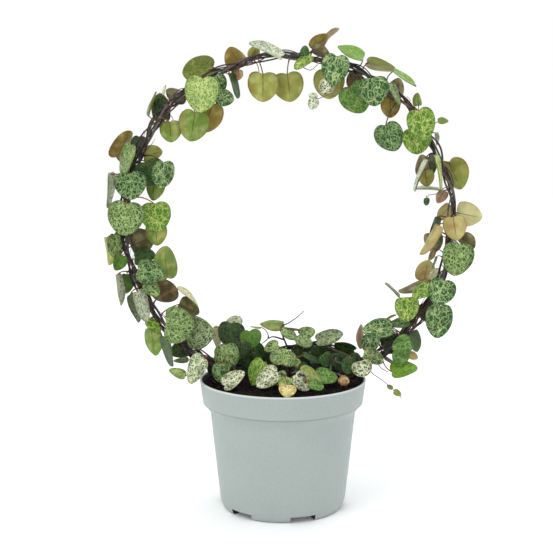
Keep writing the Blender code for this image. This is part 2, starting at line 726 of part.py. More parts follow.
def soil_cutters():
    """Plain holes round the hoop's feet and round every root."""
    cutters = new_collection("hole_cutters")
    leg, bend, _ = hoop_lengths()
    stops = [0.0, leg / 2, leg, leg + bend / 3, leg + bend * 2 / 3, leg + bend]
    left = [hoop_at(stop)[0] for stop in stops]
    left[0].z -= FOOT_HOLE_GAP
    right = [Vector((2 * HOOP_X - place.x, 0.0, place.z)) for place in left]
    holes = [bar("foot_hole", path, FOOT_HOLE_RADIUS, cutters, HOLE_ROUNDING) for path in (left, right)]
    for sprig in SPRIGS.values():
        for x, y in sprig.roots:
            path = [Vector((x, y, ROOT_FOOT_Z - FOOT_HOLE_GAP)), Vector((x, y, HOLE_TOP_Z))]
            holes.append(bar("root_hole", path, sprig.radius + HOLE_GAP, cutters, HOLE_ROUNDING))
    for hole in made_real(holes):
        mark_cutter(hole)
    return cutters


def make_soil(parts):
    draw = random.Random(SEED)
    top = [(radius, soil_top(radius)) for radius in SOIL_RINGS]
    soil = made_real([turned("soil", (*top, *SOIL_SIDE), SOIL_SEGMENTS, parts)])[0]
    for vertex in soil.data.vertices:
        if vertex.co.z > (SOIL_EDGE[1] + SOIL_BUMPS_ABOVE_EDGE) * MM:
            vertex.co.z += draw.uniform(-SOIL_BUMP, SOIL_BUMP) * MM
    finish(boolean(soil, "DIFFERENCE", soil_cutters()), "soil")


def make_hoop(parts):
    pieces = round(hoop_total() / WIRE_STEP)
    path = [hoop_at(hoop_total() * i / pieces)[0] for i in range(pieces + 1)]
    finish(bar("hoop", path, WIRE_RADIUS, parts), "hoop_wire")


def grow(name, paths, thicknesses, leaves, draw, parts):
    """One solid of the stems along the paths, their leaves and their shoots."""
    pieces = new_collection(f"{name}_pieces")
    shapes = [bar(name, path, radius, pieces) for path, radius in zip(paths, thicknesses)]
    for leaf in with_opposites(leaves):
        shapes.append(leaf_solid("leaf", leaf, paths, draw, pieces))
    for shoot in SHOOTS.get(name, ()):
        line = [seen(*point) for point in shoot.points]
        path = smooth_path([nearest(line[0], paths), *line], STEM_STEP)
        shapes.append(bar("shoot", path, shoot.radius, pieces))
        shapes += [leaf_solid("leaf", leaf, [path], draw, pieces) for leaf in shoot.leaves]
    if name in TUBERS:
        shapes.append(make_tuber(TUBERS[name], pieces))
    stem = made_real(shapes)[0]
    pieces.objects.unlink(stem)
    parts.objects.link(stem)
    whole = boolean(stem, "UNION", pieces, "MANIFOLD")
    drop_scraps(whole.data)
    finish(whole, "foliage")


def make_tuber(tuber, collection):
    """A small round tuber on a stem."""
    bpy.ops.mesh.primitive_ico_sphere_add(subdivisions=1, radius=tuber.radius * MM)
    made = bpy.context.object
    made.location = seen(tuber.x, tuber.z, tuber.y) * MM
    made.users_collection[0].objects.unlink(made)
    collection.objects.link(made)
    return made


def make_vines(parts):
    for i, (name, (first, last, leaves)) in enumerate(VINES.items()):
        start = max(hoop_length_at(first) + VINE_GAP / 2, VINE_FOOT)
        end = min(hoop_length_at(last) - VINE_GAP / 2, hoop_total() - VINE_FOOT)
        paths = [strand(winding, start, end) for winding in WINDINGS]
        thicknesses = [winding.thickness for winding in WINDINGS]
        grow(name, paths, thicknesses, leaves, random.Random(SEED + i), parts)


def sprig_paths(sprig):
    """Middle lines of a sprig's stems, the rooted ones starting deep in the soil."""
    paths = []
    for i, stem in enumerate(sprig.stems):
        line = [seen(*point) for point in stem]
        foot = []
        if i < len(sprig.roots):
            x, y = sprig.roots[i]
            foot.append(Vector((x, y, ROOT_FOOT_Z)))
            line.insert(0, Vector((x, y, ROOT_TOP_Z)))
        paths.append(foot + smooth_path(line, STEM_STEP))
    return paths


def make_sprigs(parts):
    for i, (name, sprig) in enumerate(SPRIGS.items()):
        paths = sprig_paths(sprig)
        thicknesses = [sprig.radius] * len(paths)
        grow(name, paths, thicknesses, sprig.leaves, random.Random(SEED + len(VINES) + i), parts)


def main():
    for old in list(bpy.data.objects):
        bpy.data.objects.remove(old)
    parts = new_collection("potted_string_of_hearts")
    make_pot(parts)
    make_soil(parts)
    make_hoop(parts)
    make_vines(parts)
    make_sprigs(parts)


if __name__ == "__main__":
    main()
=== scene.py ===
"""Looks of the potted string of hearts: marbled leaves, wound stems, satin pot and crumbly soil.

Metres, in the frame of the CAD. Lengths are named in millimetres and colours as on a screen,
0 to 255; both are turned into Blender's units where they are used.
A leaf is placed as the camera sees it: x and z on the hoop's plane, and y, its true depth.
"""

import math
import random
from collections import namedtuple

import bmesh
import bpy
import numpy as np
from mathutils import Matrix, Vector, noise


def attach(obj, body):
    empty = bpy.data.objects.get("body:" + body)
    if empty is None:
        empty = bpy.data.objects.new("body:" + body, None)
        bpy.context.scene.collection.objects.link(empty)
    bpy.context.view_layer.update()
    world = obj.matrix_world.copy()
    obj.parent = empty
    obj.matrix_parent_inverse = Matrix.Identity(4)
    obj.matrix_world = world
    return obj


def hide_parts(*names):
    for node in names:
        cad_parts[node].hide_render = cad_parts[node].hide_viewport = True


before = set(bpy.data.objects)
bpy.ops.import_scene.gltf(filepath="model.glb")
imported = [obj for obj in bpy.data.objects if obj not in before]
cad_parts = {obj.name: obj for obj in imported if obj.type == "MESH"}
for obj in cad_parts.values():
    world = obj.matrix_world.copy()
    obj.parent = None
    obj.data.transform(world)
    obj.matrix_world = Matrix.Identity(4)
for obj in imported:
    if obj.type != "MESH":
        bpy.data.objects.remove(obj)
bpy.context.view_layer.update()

MM = 0.001
SEED = 7

# Camera: where it stands, its tilt from straight down, and its lens on a 36 mm sensor.
EYE = Vector((-4.6, -820.0, 286.0))
CAMERA_TILT = 81.8
LENS = 75.5

# Pot: radius and height along its outline, down the outside and up the inside.
POT_OUTLINE = (
    (58.5, 93.7), (58.8, 93.95), (59.3, 94.0), (59.7, 93.8), (59.9, 93.3), (59.8, 92.4),
    (57.9, 78.4), (57.75, 77.2), (57.5, 76.9), (56.9, 76.8), (56.5, 76.5), (53.2, 71.8),
    (52.75, 71.2), (52.5, 70.4), (52.3, 68.6), (45.9, 9.0), (45.6, 6.2), (45.0, 3.6), (44.2, 1.6),
    (43.2, 0.5), (42.0, 0.0), (30.0, 0.0), (0.0, 0.0), (0.0, 6.6), (42.8, 6.6),
    (44.4, 8.0), (51.4, 71.8), (56.2, 77.4), (58.5, 93.7),
)
POT_SEGMENTS = 144
POT_COLOURS = ((154, 165, 163), (164, 174, 171), (182, 191, 187), (138, 148, 150))
# Painted shade: near black copies of the pot's colours, for the inner wall above the next height and for the faces
# inside the notches.
PAINTED_SHADE_COLOURS = ((34, 39, 38), (46, 52, 50), (60, 66, 62), (26, 24, 21))
PAINTED_SHADE_FROM_Z = 60.0
# Painted highlight: the top of the rim, between these heights, is mixed towards a near white colour.
RIM_HIGHLIGHT_Z = (92.4, 93.6)
RIM_HIGHLIGHT_COLOUR = (232, 238, 235)
# Painted shade: a darker olive line under the lip's band, rising and fading between these three heights.
LIP_SHADE_Z = (75.6, 76.9, 78.0)
LIP_SHADE_COLOUR = (122, 128, 104)
NOTCHES = 6
FIRST_NOTCH_ANGLE = 18.5
NOTCH_WIDTH = 18.5
NOTCH_HEIGHT = 4.6
NOTCH_INNER_RADIUS = 26.0
NOTCH_DEPTH = 32.0

# Soil: heaped in the middle, lumpy, with crumbs and bits of bark and fibre on it.
SOIL_EDGE = (56.8, 90.0)
SOIL_SIDE = ((55.5, 77.6), (50.8, 72.2), (43.6, 8.4))
SOIL_HEAP = 5.5
SOIL_RINGS = 44
SOIL_SEGMENTS = 150
CRUMBS = 1500
CRUMB_SIZE = (0.7, 2.6)

# Hoop: a wire bent to a circle open at the bottom, with a leg each side down into the soil.
HOOP_X = 4.0
HOOP_Z = 207.0
HOOP_RADIUS = 116.0
HOOP_END_ANGLE = 156.5
HOOP_BEND = 24.0
HOOP_FOOT_Z = 48.0
WIRE_RADIUS = 0.7

# Vines: strands wound round the wire; wander is how far their distance from it swings.
Winding = namedtuple("Winding", "radius thickness pitch phase wander")
WINDINGS = (
    Winding(2.3, 0.95, 60.0, 0, 0.15),
    Winding(2.4, 0.90, 64.0, 180, 0.15),
    Winding(2.9, 0.80, -88.0, 50, 0.2),
    Winding(2.7, 0.70, 47.0, 95, 0.25),
    Winding(3.2, 0.55, -70.0, 215, 0.3),
    Winding(3.6, 0.40, 52.0, 300, 0.35),
)
MORE_WINDINGS = (
    Winding(3.9, 0.75, 57.0, 150, 0.25),
    Winding(4.2, 0.60, -72.0, 20, 0.3),
    Winding(3.4, 0.80, 81.0, 250, 0.3),
)
THICK_VINES = ("vine_low_left", "vine_left", "vine_high_left", "vine_low_right")
LOOSE_END = 0.1
STRAND_STEP = 2.2
STRAND_SIDES = 8
VINE_OVERLAP = 0.4
VINE_FOOT = 3.0

# Leaves: one half of the outline, along from the notch and across, as shares of length and width.
HEART_HALF = (
    (-0.035, 0.045), (-0.085, 0.14), (-0.085, 0.26), (-0.01, 0.39), (0.13, 0.48), (0.31, 0.50),
    (0.48, 0.465), (0.64, 0.375), (0.77, 0.25), (0.85, 0.12),
)
HEART_TIP = 0.88
HEART_MIDDLE = 0.38
HEART_STEPS = 20
CROSS_STEPS = (0.0, 0.2, 0.42, 0.63, 0.8, 0.92, 0.98, 1.0)
BLADE_THICKNESS = 1.1
NOTCH_RANGE = (0.25, 0.95)
FOLD_RANGE = (4.0, 16.0)
CURL_RANGE = (0.02, 0.10)
FOLD_SOFTNESS = 1.2
WAVE = 0.45
OPPOSITE_SIZE = 0.82

# Net of a leaf's upper side: how much finer each layer of cells is and how thin its lines are,
# and the veins on each half.
NET_LAYERS = ((1.0, 1.0), (1.7, 1.2))
NET_WIDTH = 0.22
VEINS = 3

# Petioles, sprig stems and thin shoots.
PETIOLE_RADIUS = 0.42
PETIOLE_BOW = 0.3
PETIOLE_STEPS = 7
SHORTEST_PETIOLE = 1.5
SHOOT_SHARE = 0.65
TWIG_EVERY = 5.0
TWIG_SPAN = 6
TWIG_BOW = (3.0, 8.0)
STEM_STEP = 2.5
ROOT_FOOT_Z = 58.0
ROOT_TOP_Z = 97.0
TWINE_RADIUS = 1.3
TWINE_PITCH = 34.0

# Tones of a leaf's upper side: ground, marks, how far the marks spread, how fine their net is, margin.
Upper = namedtuple("Upper", "ground marks spread fine margin")
UPPERS = {
    "silver": Upper((42, 76, 28), (166, 190, 120), 0.62, 0.75, (84, 114, 62)),
    "grey": Upper((48, 72, 38), (164, 180, 132), 0.70, 0.70, (92, 112, 76)),
    "lace": Upper((56, 84, 40), (212, 220, 182), 0.85, 0.60, (170, 184, 146)),
    "pale": Upper((104, 124, 84), (218, 226, 198), 0.90, 0.80, (150, 164, 124)),
    "white": Upper((56, 88, 36), (232, 234, 200), 0.80, 0.55, (206, 186, 142)),
    "marbled": Upper((34, 64, 30), (146, 178, 112), 0.55, 0.50, (56, 82, 46)),
    "net": Upper((42, 84, 34), (178, 200, 138), 0.42, 0.10, (54, 84, 46)),
    "dark": Upper((38, 66, 28), (84, 114, 60), 0.34, 0.50, (36, 58, 28)),
    # Darker copy of the marbled tones: painted shade for leaves that lie in shadow, low down and behind others.
    "night": Upper((30, 50, 24), (80, 106, 60), 0.34, 0.50, (28, 44, 22)),
    "moss": Upper((106, 122, 48), (160, 172, 92), 0.44, 0.60, (92, 100, 42)),
    "edged": Upper((44, 76, 34), (172, 188, 130), 0.50, 0.60, (206, 184, 142)),
    "plain": Upper((64, 104, 30), (104, 142, 54), 0.30, 0.40, (52, 82, 30)),
    "mottled": Upper((58, 104, 34), (140, 170, 92), 0.40, 0.40, (58, 92, 42)),
    "bright": Upper((100, 146, 34), (150, 184, 84), 0.34, 0.40, (80, 116, 40)),
    "lime": Upper((94, 136, 44), (188, 204, 130), 0.90, 0.90, (92, 122, 54)),
    "limenet": Upper((72, 120, 26), (190, 206, 112), 0.42, 0.20, (78, 112, 38)),
    "yellow": Upper((170, 150, 66), (236, 226, 160), 0.80, 0.70, (214, 172, 76)),
    "cream": Upper((160, 166, 110), (226, 222, 186), 0.80, 0.70, (208, 180, 128)),
}

# Tones of its underside.
UNDERS = {
    "olive": (148, 154, 72),
    "gold": (138, 118, 44),
    "brown": (100, 88, 60),
    "green": (110, 138, 52),
    "tan": (176, 162, 104),
    "pink": (172, 136, 116),
    "straw": (204, 200, 144),
}
HIDDEN_UPPERS = ("net", "marbled", "silver", "mottled")
HIDDEN_UNDERS = ("olive", "green", "brown", "olive")
STEM_COLOURS = ((44, 28, 25), (86, 76, 76), (34, 22, 19), (74, 46, 36), (60, 34, 28))
PETIOLE_COLOURS = ((112, 50, 34), (150, 84, 44), (84, 44, 34), (120, 88, 44))
TWIG_COLOURS = ((70, 40, 32), (106, 56, 38), (48, 32, 28), (140, 84, 46), (60, 42, 38))
SHOOT_COLOUR = (128, 88, 84)
TUBER_COLOURS = ((122, 74, 38), (222, 186, 130))

Leaf = namedtuple("Leaf", "x z y length width tip pitch roll tone mate", defaults=(None,))

# Leaves of each stretch of the hoop, with the clock angles it runs between.
# x, z: middle of the blade as seen. y: depth, less than 0 in front of the hoop.
# tip: way it points, 0 right, 90 up. pitch: tip leans to the eye. roll: over 90 shows the underside.
# tone: of the side that faces the camera. mate: depth of the opposite leaf hidden behind it.
VINES = {
    "vine_low_left": (-180, -124, (
        Leaf(-68, 145, 10, 18, 17, -25, 0, 150, "brown"),
        Leaf(-75, 133, -13, 24, 27, -4, 5, 5, "silver", 11),
        Leaf(-60, 127, -8, 24, 25, 2, 28, 0, "grey"),
        Leaf(-93, 121, 7, 22, 19, -80, 0, 140, "green"),
        Leaf(-93, 132, -5, 15, 10, -45, 10, 48, "limenet"),
        Leaf(-83, 114, -7, 25, 19, -78, 0, -60, "dark"),
        Leaf(-73, 115, 10, 18, 15, 195, 0, -38, "dark"),
        Leaf(-73, 106.5, -2, 12, 10, 180, 0, -78, "grey"),
        Leaf(-62, 100, -20, 24, 20, -124, 0, -50, "lace"),
        Leaf(-76, 97, -10, 14, 11, 155, 0, -64, "lime"),
    )),
    "vine_left": (-124, -101.6, (
        Leaf(-84, 177, 1, 26, 23, 97, 0, 136, "green"),
        Leaf(-95, 171, -9, 22, 18, -12, 0, 15, "marbled", 12),
        Leaf(-94, 159, -9, 15, 12, -45, 0, 40, "silver"),
        Leaf(-117, 178, -6, 13, 11, -110, 0, 35, "plain"),
        Leaf(-117, 159, -9, 25, 18, -80, 0, 82, "pale"),
        Leaf(-112, 163, 9, 16, 15, -95, 0, 45, "plain"),
        Leaf(-106, 146, -3, 24, 20, -69, 0, 72, "grey"),
        Leaf(-101, 147, -13, 25, 20, -72, 0, 67, "pale"),
        Leaf(-84, 157, 8, 20, 19, -20, 0, 162, "brown"),
        Leaf(-68, 154, -3, 21, 18, -38, 0, 88, "cream"),
        Leaf(-99, 182, 2, 17, 17, 10, 0, 48, "dark"),
    )),
    "vine_high_left": (-101.6, -58, (
        Leaf(-113, 261, 8, 24, 21, 62, 0, 120, "gold"),
        Leaf(-110, 251, -8, 26, 22, -110, 0, -58, "silver"),
        Leaf(-102, 260, 9, 18, 18, -100, 0, 55, "dark"),
        Leaf(-92, 255, 4, 15, 14, 15, -20, 152, "olive"),
        Leaf(-94, 242, -3, 20, 21, -70, 0, 12, "dark"),
        Leaf(-85, 241, -9, 21, 20, -95, 0, 42, "net"),
        Leaf(-91, 231, 3, 18, 16, -95, 0, 150, "green"),
        Leaf(-108, 233, -15, 21, 23, -84, 12, 8, "marbled", 10),
        Leaf(-122.5, 230, 2, 27, 22, -94, 0, 83, "pale"),
        Leaf(-112, 210, -11, 26, 26, -98, 5, 0, "silver", 12),
        Leaf(-90, 211, -3, 23, 22, -85, 0, 12, "limenet"),
        Leaf(-90, 199, 0, 18, 17, -82, 0, 162, "green"),
        Leaf(-119, 190, -6, 20, 20, -85, 0, 61, "silver"),
        Leaf(-124, 187, 13, 22, 20, -82, 0, 120, "olive"),
        Leaf(-101, 193, 11, 20, 20, 25, 0, 170, "brown"),
    )),
    "vine_upper_left": (-58, -24, (
        Leaf(-41, 294, -8.5, 14, 13, -10, 0, 20, "net"),
        Leaf(-45, 304, -3, 13, 13, -60, 0, 20, "net"),
        Leaf(-85, 287, 8, 21, 18, 102, 0, 35, "dark"),
        Leaf(-92, 289, 3, 20, 14, 73, 0, 80, "grey"),
        Leaf(-74, 296, 9, 17, 16, 160, 0, 130, "brown"),
        Leaf(-79, 271, -1, 16, 16, -85, 0, 176, "green"),
        Leaf(-58, 313, 14, 25, 21, 192, 0, 20, "moss"),
        Leaf(-57, 297, -12, 27, 24, -95, 8, 4, "lime", 11),
        Leaf(-63, 275, -4, 23, 22, -100, 0, 178, "green"),
        Leaf(-52, 281, 2, 23, 20, -106, 0, 170, "gold"),
        Leaf(-83, 299, 2, 8, 6, 80, 0, 70, "cream"),
    )),
    "vine_top_left": (-24, -4, (
        Leaf(-34, 303, -5, 20, 15, -70, 0, 70, "dark"),
        Leaf(-33, 321, 6, 18, 17, 125, 0, 152, "gold"),
        Leaf(-20, 325, 4, 10, 9, 70, 0, 160, "olive"),
        Leaf(-31, 310, 0, 8, 7, -90, 0, 150, "pink"),
        Leaf(-14, 302, -4, 22, 22, -90, 0, 178, "olive"),
        Leaf(-20, 309, 2, 8, 7, 190, 0, 160, "brown"),
    )),
    "vine_top_right": (-4, 23, (
        Leaf(-11, 327, -12, 27, 21, 153, 0, -67, "pale"),
        Leaf(4, 302, 2, 22, 22, -82, 0, 180, "olive"),
        Leaf(14, 319, -8, 16, 12, 215, 0, -48, "limenet"),
        Leaf(15, 326, -6, 8, 7, 90, 0, 20, "dark"),
        Leaf(25, 332, 3, 17, 14, 45, 0, 132, "gold"),
        Leaf(33, 337.5, 15, 14, 11, 42, 0, 112, "pink"),
        Leaf(26, 326, -7, 14, 12, -20, 0, 130, "brown"),
        Leaf(36, 314, -11, 22, 20, -100, 0, -12, "net", 9),
        Leaf(32, 304, 2, 22, 22, -90, 0, 178, "olive"),
        Leaf(30, 301.5, -8, 12, 12, -120, 0, 20, "white"),
    )),
    "vine_upper_right": (23, 63, (
        Leaf(112, 278, 3, 8, 7, 5, 0, 50, "green"),
        Leaf(108, 266, 2, 10, 7, -80, 0, 60, "grey"),
        Leaf(48, 325, 0, 22, 17, 155, 0, -57, "bright"),
        Leaf(67.5, 316, 9, 23, 18, -14, 0, 115, "olive"),
        Leaf(84, 308, -1, 22, 12, -32, 0, 66, "bright"),
        Leaf(63, 299, -14, 22, 22, -80, 0, 8, "net", 9),
        Leaf(51, 294, -5, 23, 23, -60, 0, 10, "mottled"),
        Leaf(50, 307, 4, 13, 13, 100, 0, 30, "brown"),
        Leaf(78, 297, -8, 18, 15, -62, 0, 64, "silver"),
        Leaf(75, 288, 3, 16, 14, -90, 0, 172, "gold"),
        Leaf(79, 300, 13, 16, 15, 80, 0, 150, "brown"),
        Leaf(94, 292.5, 5, 10, 8, 100, 0, 150, "green"),
        Leaf(97, 276, -14, 24, 21, -75, 0, 10, "limenet", 9),
        Leaf(94, 264.5, -8, 20, 21, -85, 0, 5, "limenet"),
        Leaf(75, 267, -6, 22, 21, -68, 0, -20, "marbled"),
    )),
    "vine_high_right": (63, 86, (
        Leaf(99, 247, 14, 17, 16, -110, 0, 130, "brown"),
        Leaf(97, 241, -9, 26, 16, -116, 0, -87, "pale"),
        Leaf(105, 248, 6, 18, 16, -85, 0, 62, "dark"),
        Leaf(101, 238.5, 1, 13, 12, -80, 0, 160, "olive"),
        Leaf(110, 243, -16, 27, 18, -76, 0, 73, "lime"),
        Leaf(104, 230.5, 2, 22, 17, 173, 0, -87, "pale"),
        Leaf(112, 225, 7, 11, 9, -120, 0, 140, "pink"),
        Leaf(121, 241, 11, 24, 22, -65, 0, 140, "olive"),
        Leaf(115, 214, 9, 15, 12, -130, 0, 140, "tan"),
    )),
    "vine_right": (86, 117, (
        Leaf(131, 212, 3, 21, 18, -12, 0, 172, "straw"),
        Leaf(122, 203, -13, 19, 17, -80, 0, 172, "tan"),
        Leaf(107, 204, 2, 17, 15, -105, 0, 58, "dark"),
        Leaf(105, 195, -11, 27, 18, -116, 0, 105, "tan"),
        Leaf(107, 193, 12, 16, 14, -80, 0, 160, "brown"),
        Leaf(111, 194, -7, 7, 6, -60, 0, 10, "dark"),
        Leaf(106, 184, 3, 10, 7, -110, 0, 120, "brown"),
        Leaf(108, 178, -4, 10, 7, -105, 0, 68, "grey"),
        Leaf(131, 193, 5, 14, 12, -40, 0, 150, "brown"),
        Leaf(124, 181, -9, 26, 23, -97, 0, 3, "silver", 12),
        Leaf(102, 171.5, 15, 17, 15, 80, 0, 178, "tan"),
        Leaf(109, 168, 8, 13, 10, 70, 0, 40, "cream"),
        Leaf(113, 157, -15.5, 21, 20, -105, 0, 0, "net", 14),
        Leaf(95, 161, 2, 26, 18, 201, 0, 105, "brown"),
        Leaf(100, 157, -12, 17, 14, 205, 0, -50, "limenet"),
    )),
    "vine_low_right": (117, 180, (
        Leaf(112, 136, -8, 27, 20, -92, 0, 4, "net", 12),
        Leaf(103, 142, 3, 17, 15, -60, 0, 160, "brown"),
        Leaf(89, 145, -8, 20, 18, -85, 0, 4, "limenet", 8),
        Leaf(79, 158, -2, 16, 9, 133, 0, -80, "grey"),
        Leaf(69, 130, -9, 25, 20, 185, 0, -56, "net"),
        Leaf(84, 134, -1, 18, 12, 190, 0, -62, "marbled"),
        Leaf(57, 124, 3, 19, 17, 100, 0, 112, "pink"),
        Leaf(77, 138, 1, 10, 8, 35, 0, 110, "tan"),
        Leaf(63, 119, -6, 15, 14, -100, 0, 10, "net"),
        Leaf(65, 109, -12, 17, 14, -22, 0, 45, "edged"),
        Leaf(86, 118, -11, 16, 15, -150, 0, 10, "mottled"),
        Leaf(85, 109, -6, 14, 13, -90, 0, 5, "mottled"),
        Leaf(78, 120, 9, 18, 16, -100, 0, -15, "night"),
        Leaf(95, 121, 1, 17, 15, -70, 0, 50, "dark"),
        Leaf(94, 110, 2, 8, 7, -20, 0, 40, "tan"),
        Leaf(87, 100, -7, 21, 17, 14, 0, 57, "bright"),
        Leaf(78, 105.5, 4, 13, 9, -30, 0, 80, "dark"),
        Leaf(57.5, 101, -18, 14, 15, -75, 0, 0, "white"),
    )),
}

# Sprigs in the pot. roots: x, y where each first stem leaves the soil. stems: points as x, z, y.
# The first stem starts at its root; the others start on a stem given before them.
Sprig = namedtuple("Sprig", "radius roots stems leaves")
SPRIGS = {
    "crossing_vines": Sprig(1.1, ((-43, 16), (43, 15)), (
        ((-42, 103, 16), (-26, 109, 15), (-8, 114, 15), (4, 116, 15), (26, 119, 13), (44, 113, 13)),
        ((42, 103, 15), (36, 112, 15), (20, 116, 15), (4.5, 116.3, 15.3), (-14, 109, 16), (-34, 103, 17)),
        ((3.6, 115.7, 15.2), (1, 122, 15), (-2, 131, 16), (4, 134, 14), (11, 139, 12), (15, 143, 11)),
        ((1.2, 121.8, 15.2), (-8, 124, 15), (-15, 119, 14)),
        ((26, 118.8, 12.8), (33, 116, 0), (39, 113.6, -14), (46, 111, -20), (50, 107.5, -22.5)),
        (
            (-33.5, 106.2, 15.6), (-20, 108, 12), (-4, 105, 11),
            (12, 107, 11), (26, 107, 12), (37.5, 110, 14.6),
        ),
    ), (
        Leaf(-7, 133, 17, 19, 15, 184, 0, 110, "green"),
        Leaf(-19, 131, 13, 9, 7, 178, 0, 76, "cream"),
        Leaf(6.5, 129, 15, 14, 12, 5, 0, 106, "pink"),
        Leaf(4, 125.5, 6, 15, 12, -28, 0, 62, "silver"),
        Leaf(17, 127, 20, 13, 11, 15, 0, 42, "silver"),
        Leaf(15.2, 120.6, 4.6, 15, 13, 75, -60, 0, "silver"),
        Leaf(33, 123.5, 9, 22, 16, 19, 0, 57, "grey"),
        Leaf(45, 116, 9, 17, 15, 165, 0, 40, "dark"),
        Leaf(-6, 108, 8, 18, 16, -80, 0, 15, "night"),
        Leaf(12, 110, 9, 20, 15, -160, 10, -20, "night"),
        Leaf(27, 111, 8, 18, 16, -70, 0, 20, "night"),
        Leaf(39, 107, 9, 17, 15, -110, 0, -15, "night"),
        Leaf(14, 102.5, 3, 16, 13, -20, -10, 10, "night"),
        Leaf(-49, 101, 9, 15, 13, -90, 0, 15, "night"),
    )),
    "sprig_left_back": Sprig(0.9, ((-27, 4),), (
        ((-28, 104, 4), (-31, 116, 3), (-28, 128, 12)),
        ((-27.8, 103.3, 4.2), (-20, 112, 2)),
    ), (
        Leaf(-35, 133, 17, 14, 13, 178, 10, -20, "pale"),
        Leaf(-38, 126, 5, 20, 19, -95, 20, 10, "night"),
        Leaf(-23, 122.5, -2, 15, 16, -80, 25, 0, "plain"),
        Leaf(-48, 124, 10, 18, 13, -75, 0, 62, "cream"),
        Leaf(-31, 113, 10, 17, 16, -60, 10, 20, "dark"),
        Leaf(-19, 113, 8, 15, 14, -30, 0, 30, "dark"),
        Leaf(-30, 114, -9, 16, 14, -95, 0, 10, "night"),
        Leaf(-23, 104, -3.5, 16, 14, -70, 0, -15, "night"),
    )),
    "sprig_left_front": Sprig(0.9, ((-31, -17),), (
        ((-34, 98, -18), (-38, 108, -12), (-42, 117, -9)),
    ), (
        Leaf(-40, 110, -15, 21, 18, -78, 0, 0, "silver"),
        Leaf(-46, 112, -6.5, 16, 12, -100, 0, 52, "pale"),
        Leaf(-45, 98, -21, 15, 13, -92, 10, 10, "marbled"),
        Leaf(-36, 92.5, -32, 20, 13, 36, 0, 38, "white"),
    )),
    "sprig_middle_left": Sprig(0.8, ((-7, -22),), (
        ((-8, 97, -24), (-12, 104, -22)),
        ((-7.8, 96.4, -23.8), (-2, 97, -36), (1, 96, -44)),
    ), (
        Leaf(-18, 98, -26.5, 22, 18, -120, 0, -52, "limenet"),
        Leaf(-11, 93.5, -37, 21, 15, 214, 0, -32, "white"),
        Leaf(-2, 93, -29, 14, 11, 205, 0, -40, "silver"),
        Leaf(1.5, 89.5, -42, 11, 10, -95, 20, 5, "lime"),
        Leaf(3, 84.3, -52, 14, 13, -100, 58, 0, "yellow"),
    )),
    "sprig_middle": Sprig(0.8, ((5, -4),), (
        ((5, 100, -5), (3, 106, -8), (-2, 113, -4)),
    ), (
        Leaf(0, 109, -14, 18, 20, 80, -50, 0, "silver"),
        Leaf(-8, 116.5, -5, 12, 9, 200, 0, -30, "silver"),
        Leaf(10, 104.5, -11, 8, 7, -20, 0, 30, "lime"),
        Leaf(20, 108, -3, 15, 11, -26, 0, 74, "dark"),
        Leaf(-9, 101, -11, 15, 13, -120, 0, 15, "night"),
        Leaf(15, 98, -22, 15, 12, -40, 0, 20, "night"),
    )),
    "sprig_right_front": Sprig(0.8, ((15, -26),), (
        ((14, 97, -28), (10, 98, -36), (6, 97, -40)),
        ((14.2, 96.4, -27.8), (24, 98, -30)),
        ((9.5, 97.8, -36.3), (16, 95, -47)),
    ), (
        Leaf(13.5, 91, -41, 17, 13, -48, 0, 22, "white"),
        Leaf(20, 96, -35, 20, 15, -24, 0, 60, "moss"),
        Leaf(31, 94.5, -24, 18, 14, -8, 0, 45, "mottled"),
        Leaf(24, 88, -49, 12, 10, -14, 0, 50, "mottled"),
    )),
    "sprig_right": Sprig(0.9, ((33, -10),), (
        ((34, 98, -12), (36, 106, -10), (43, 104, -14)),
        ((33.8, 97.3, -11.8), (41, 96, -20), (44, 92, -24)),
    ), (
        Leaf(31, 107, -10, 12, 11, -60, 0, 20, "dark"),
        Leaf(47, 103, -16, 14, 12, -95, 0, 20, "dark"),
        Leaf(40, 106, -9, 15, 13, -80, 0, 15, "night"),
        Leaf(51, 106, -10, 13, 12, -60, 0, 0, "night"),
    )),
}

# Thin shoots that leave a vine or sprig: points as x, z, y, and the leaves at their ends.
Shoot = namedtuple("Shoot", "radius points leaves")
SHOOTS = {
    "vine_low_left": (
        Shoot(0.6, ((-64, 108, -4), (-66, 104, -6), (-60, 102, -9)), ()),
    ),
    "vine_upper_left": (
        Shoot(0.6, ((-86, 281, -3), (-79, 277, -5), (-77, 279, -5), (-79, 282, -4)), ()),
    ),
    "vine_top_right": (
        Shoot(0.5, ((13, 316, -1), (19, 313, -1), (24, 317, -1)), ()),
    ),
    "vine_upper_right": (
        Shoot(0.55, ((50, 306, -2), (45, 301, -9), (36, 298, -16), (25, 293.5, -16), (18, 292.5, -15)), (
            Leaf(21, 290, -17, 9, 8, -110, 0, 15, "pale"),
            Leaf(21, 295, -14, 7, 6, 160, 0, -40, "pale"),
        )),
        Shoot(0.5, ((86, 290, -3), (89, 292, -4), (87, 295, -4), (85, 292, -3)), ()),
    ),
    "vine_high_right": (
        Shoot(0.5, ((112, 230, -2), (109, 227, -4), (103, 226, -6), (101.5, 223, -7)), (
            Leaf(101.5, 221.5, -7, 6, 5, -90, 0, 20, "dark"),
        )),
    ),
    "vine_low_right": (
        Shoot(0.6, ((60, 108, -8), (64, 98, -14), (72, 92, -16), (80, 85, -17), (86, 79, -17)), (
            Leaf(77.5, 87, -15, 5, 4, 150, 0, 20, "moss"),
            Leaf(83, 82.5, -19, 7, 5, -30, 0, 30, "moss"),
        )),
        Shoot(0.7, ((66, 110, -3), (70, 102, -5), (76, 98, -6)), ()),
    ),
}

# Tubers, each on the sprig it is named for: its middle as x, z, y, and its radius.
Tuber = namedtuple("Tuber", "x z y radius")
TUBERS = {"sprig_right": Tuber(44, 91.5, -25, 3.8)}


# Places.


def seen(x, z, y):
    """The point at depth y that the camera sees at x, z of the hoop's plane."""
    on_plane = Vector((x, 0.0, z))
    return EYE + (on_plane - EYE) * seen_scale(y)


def seen_scale(y):
    """True size at depth y of a thing that looks one millimetre long on the hoop's plane."""
    return (y - EYE.y) / -EYE.y


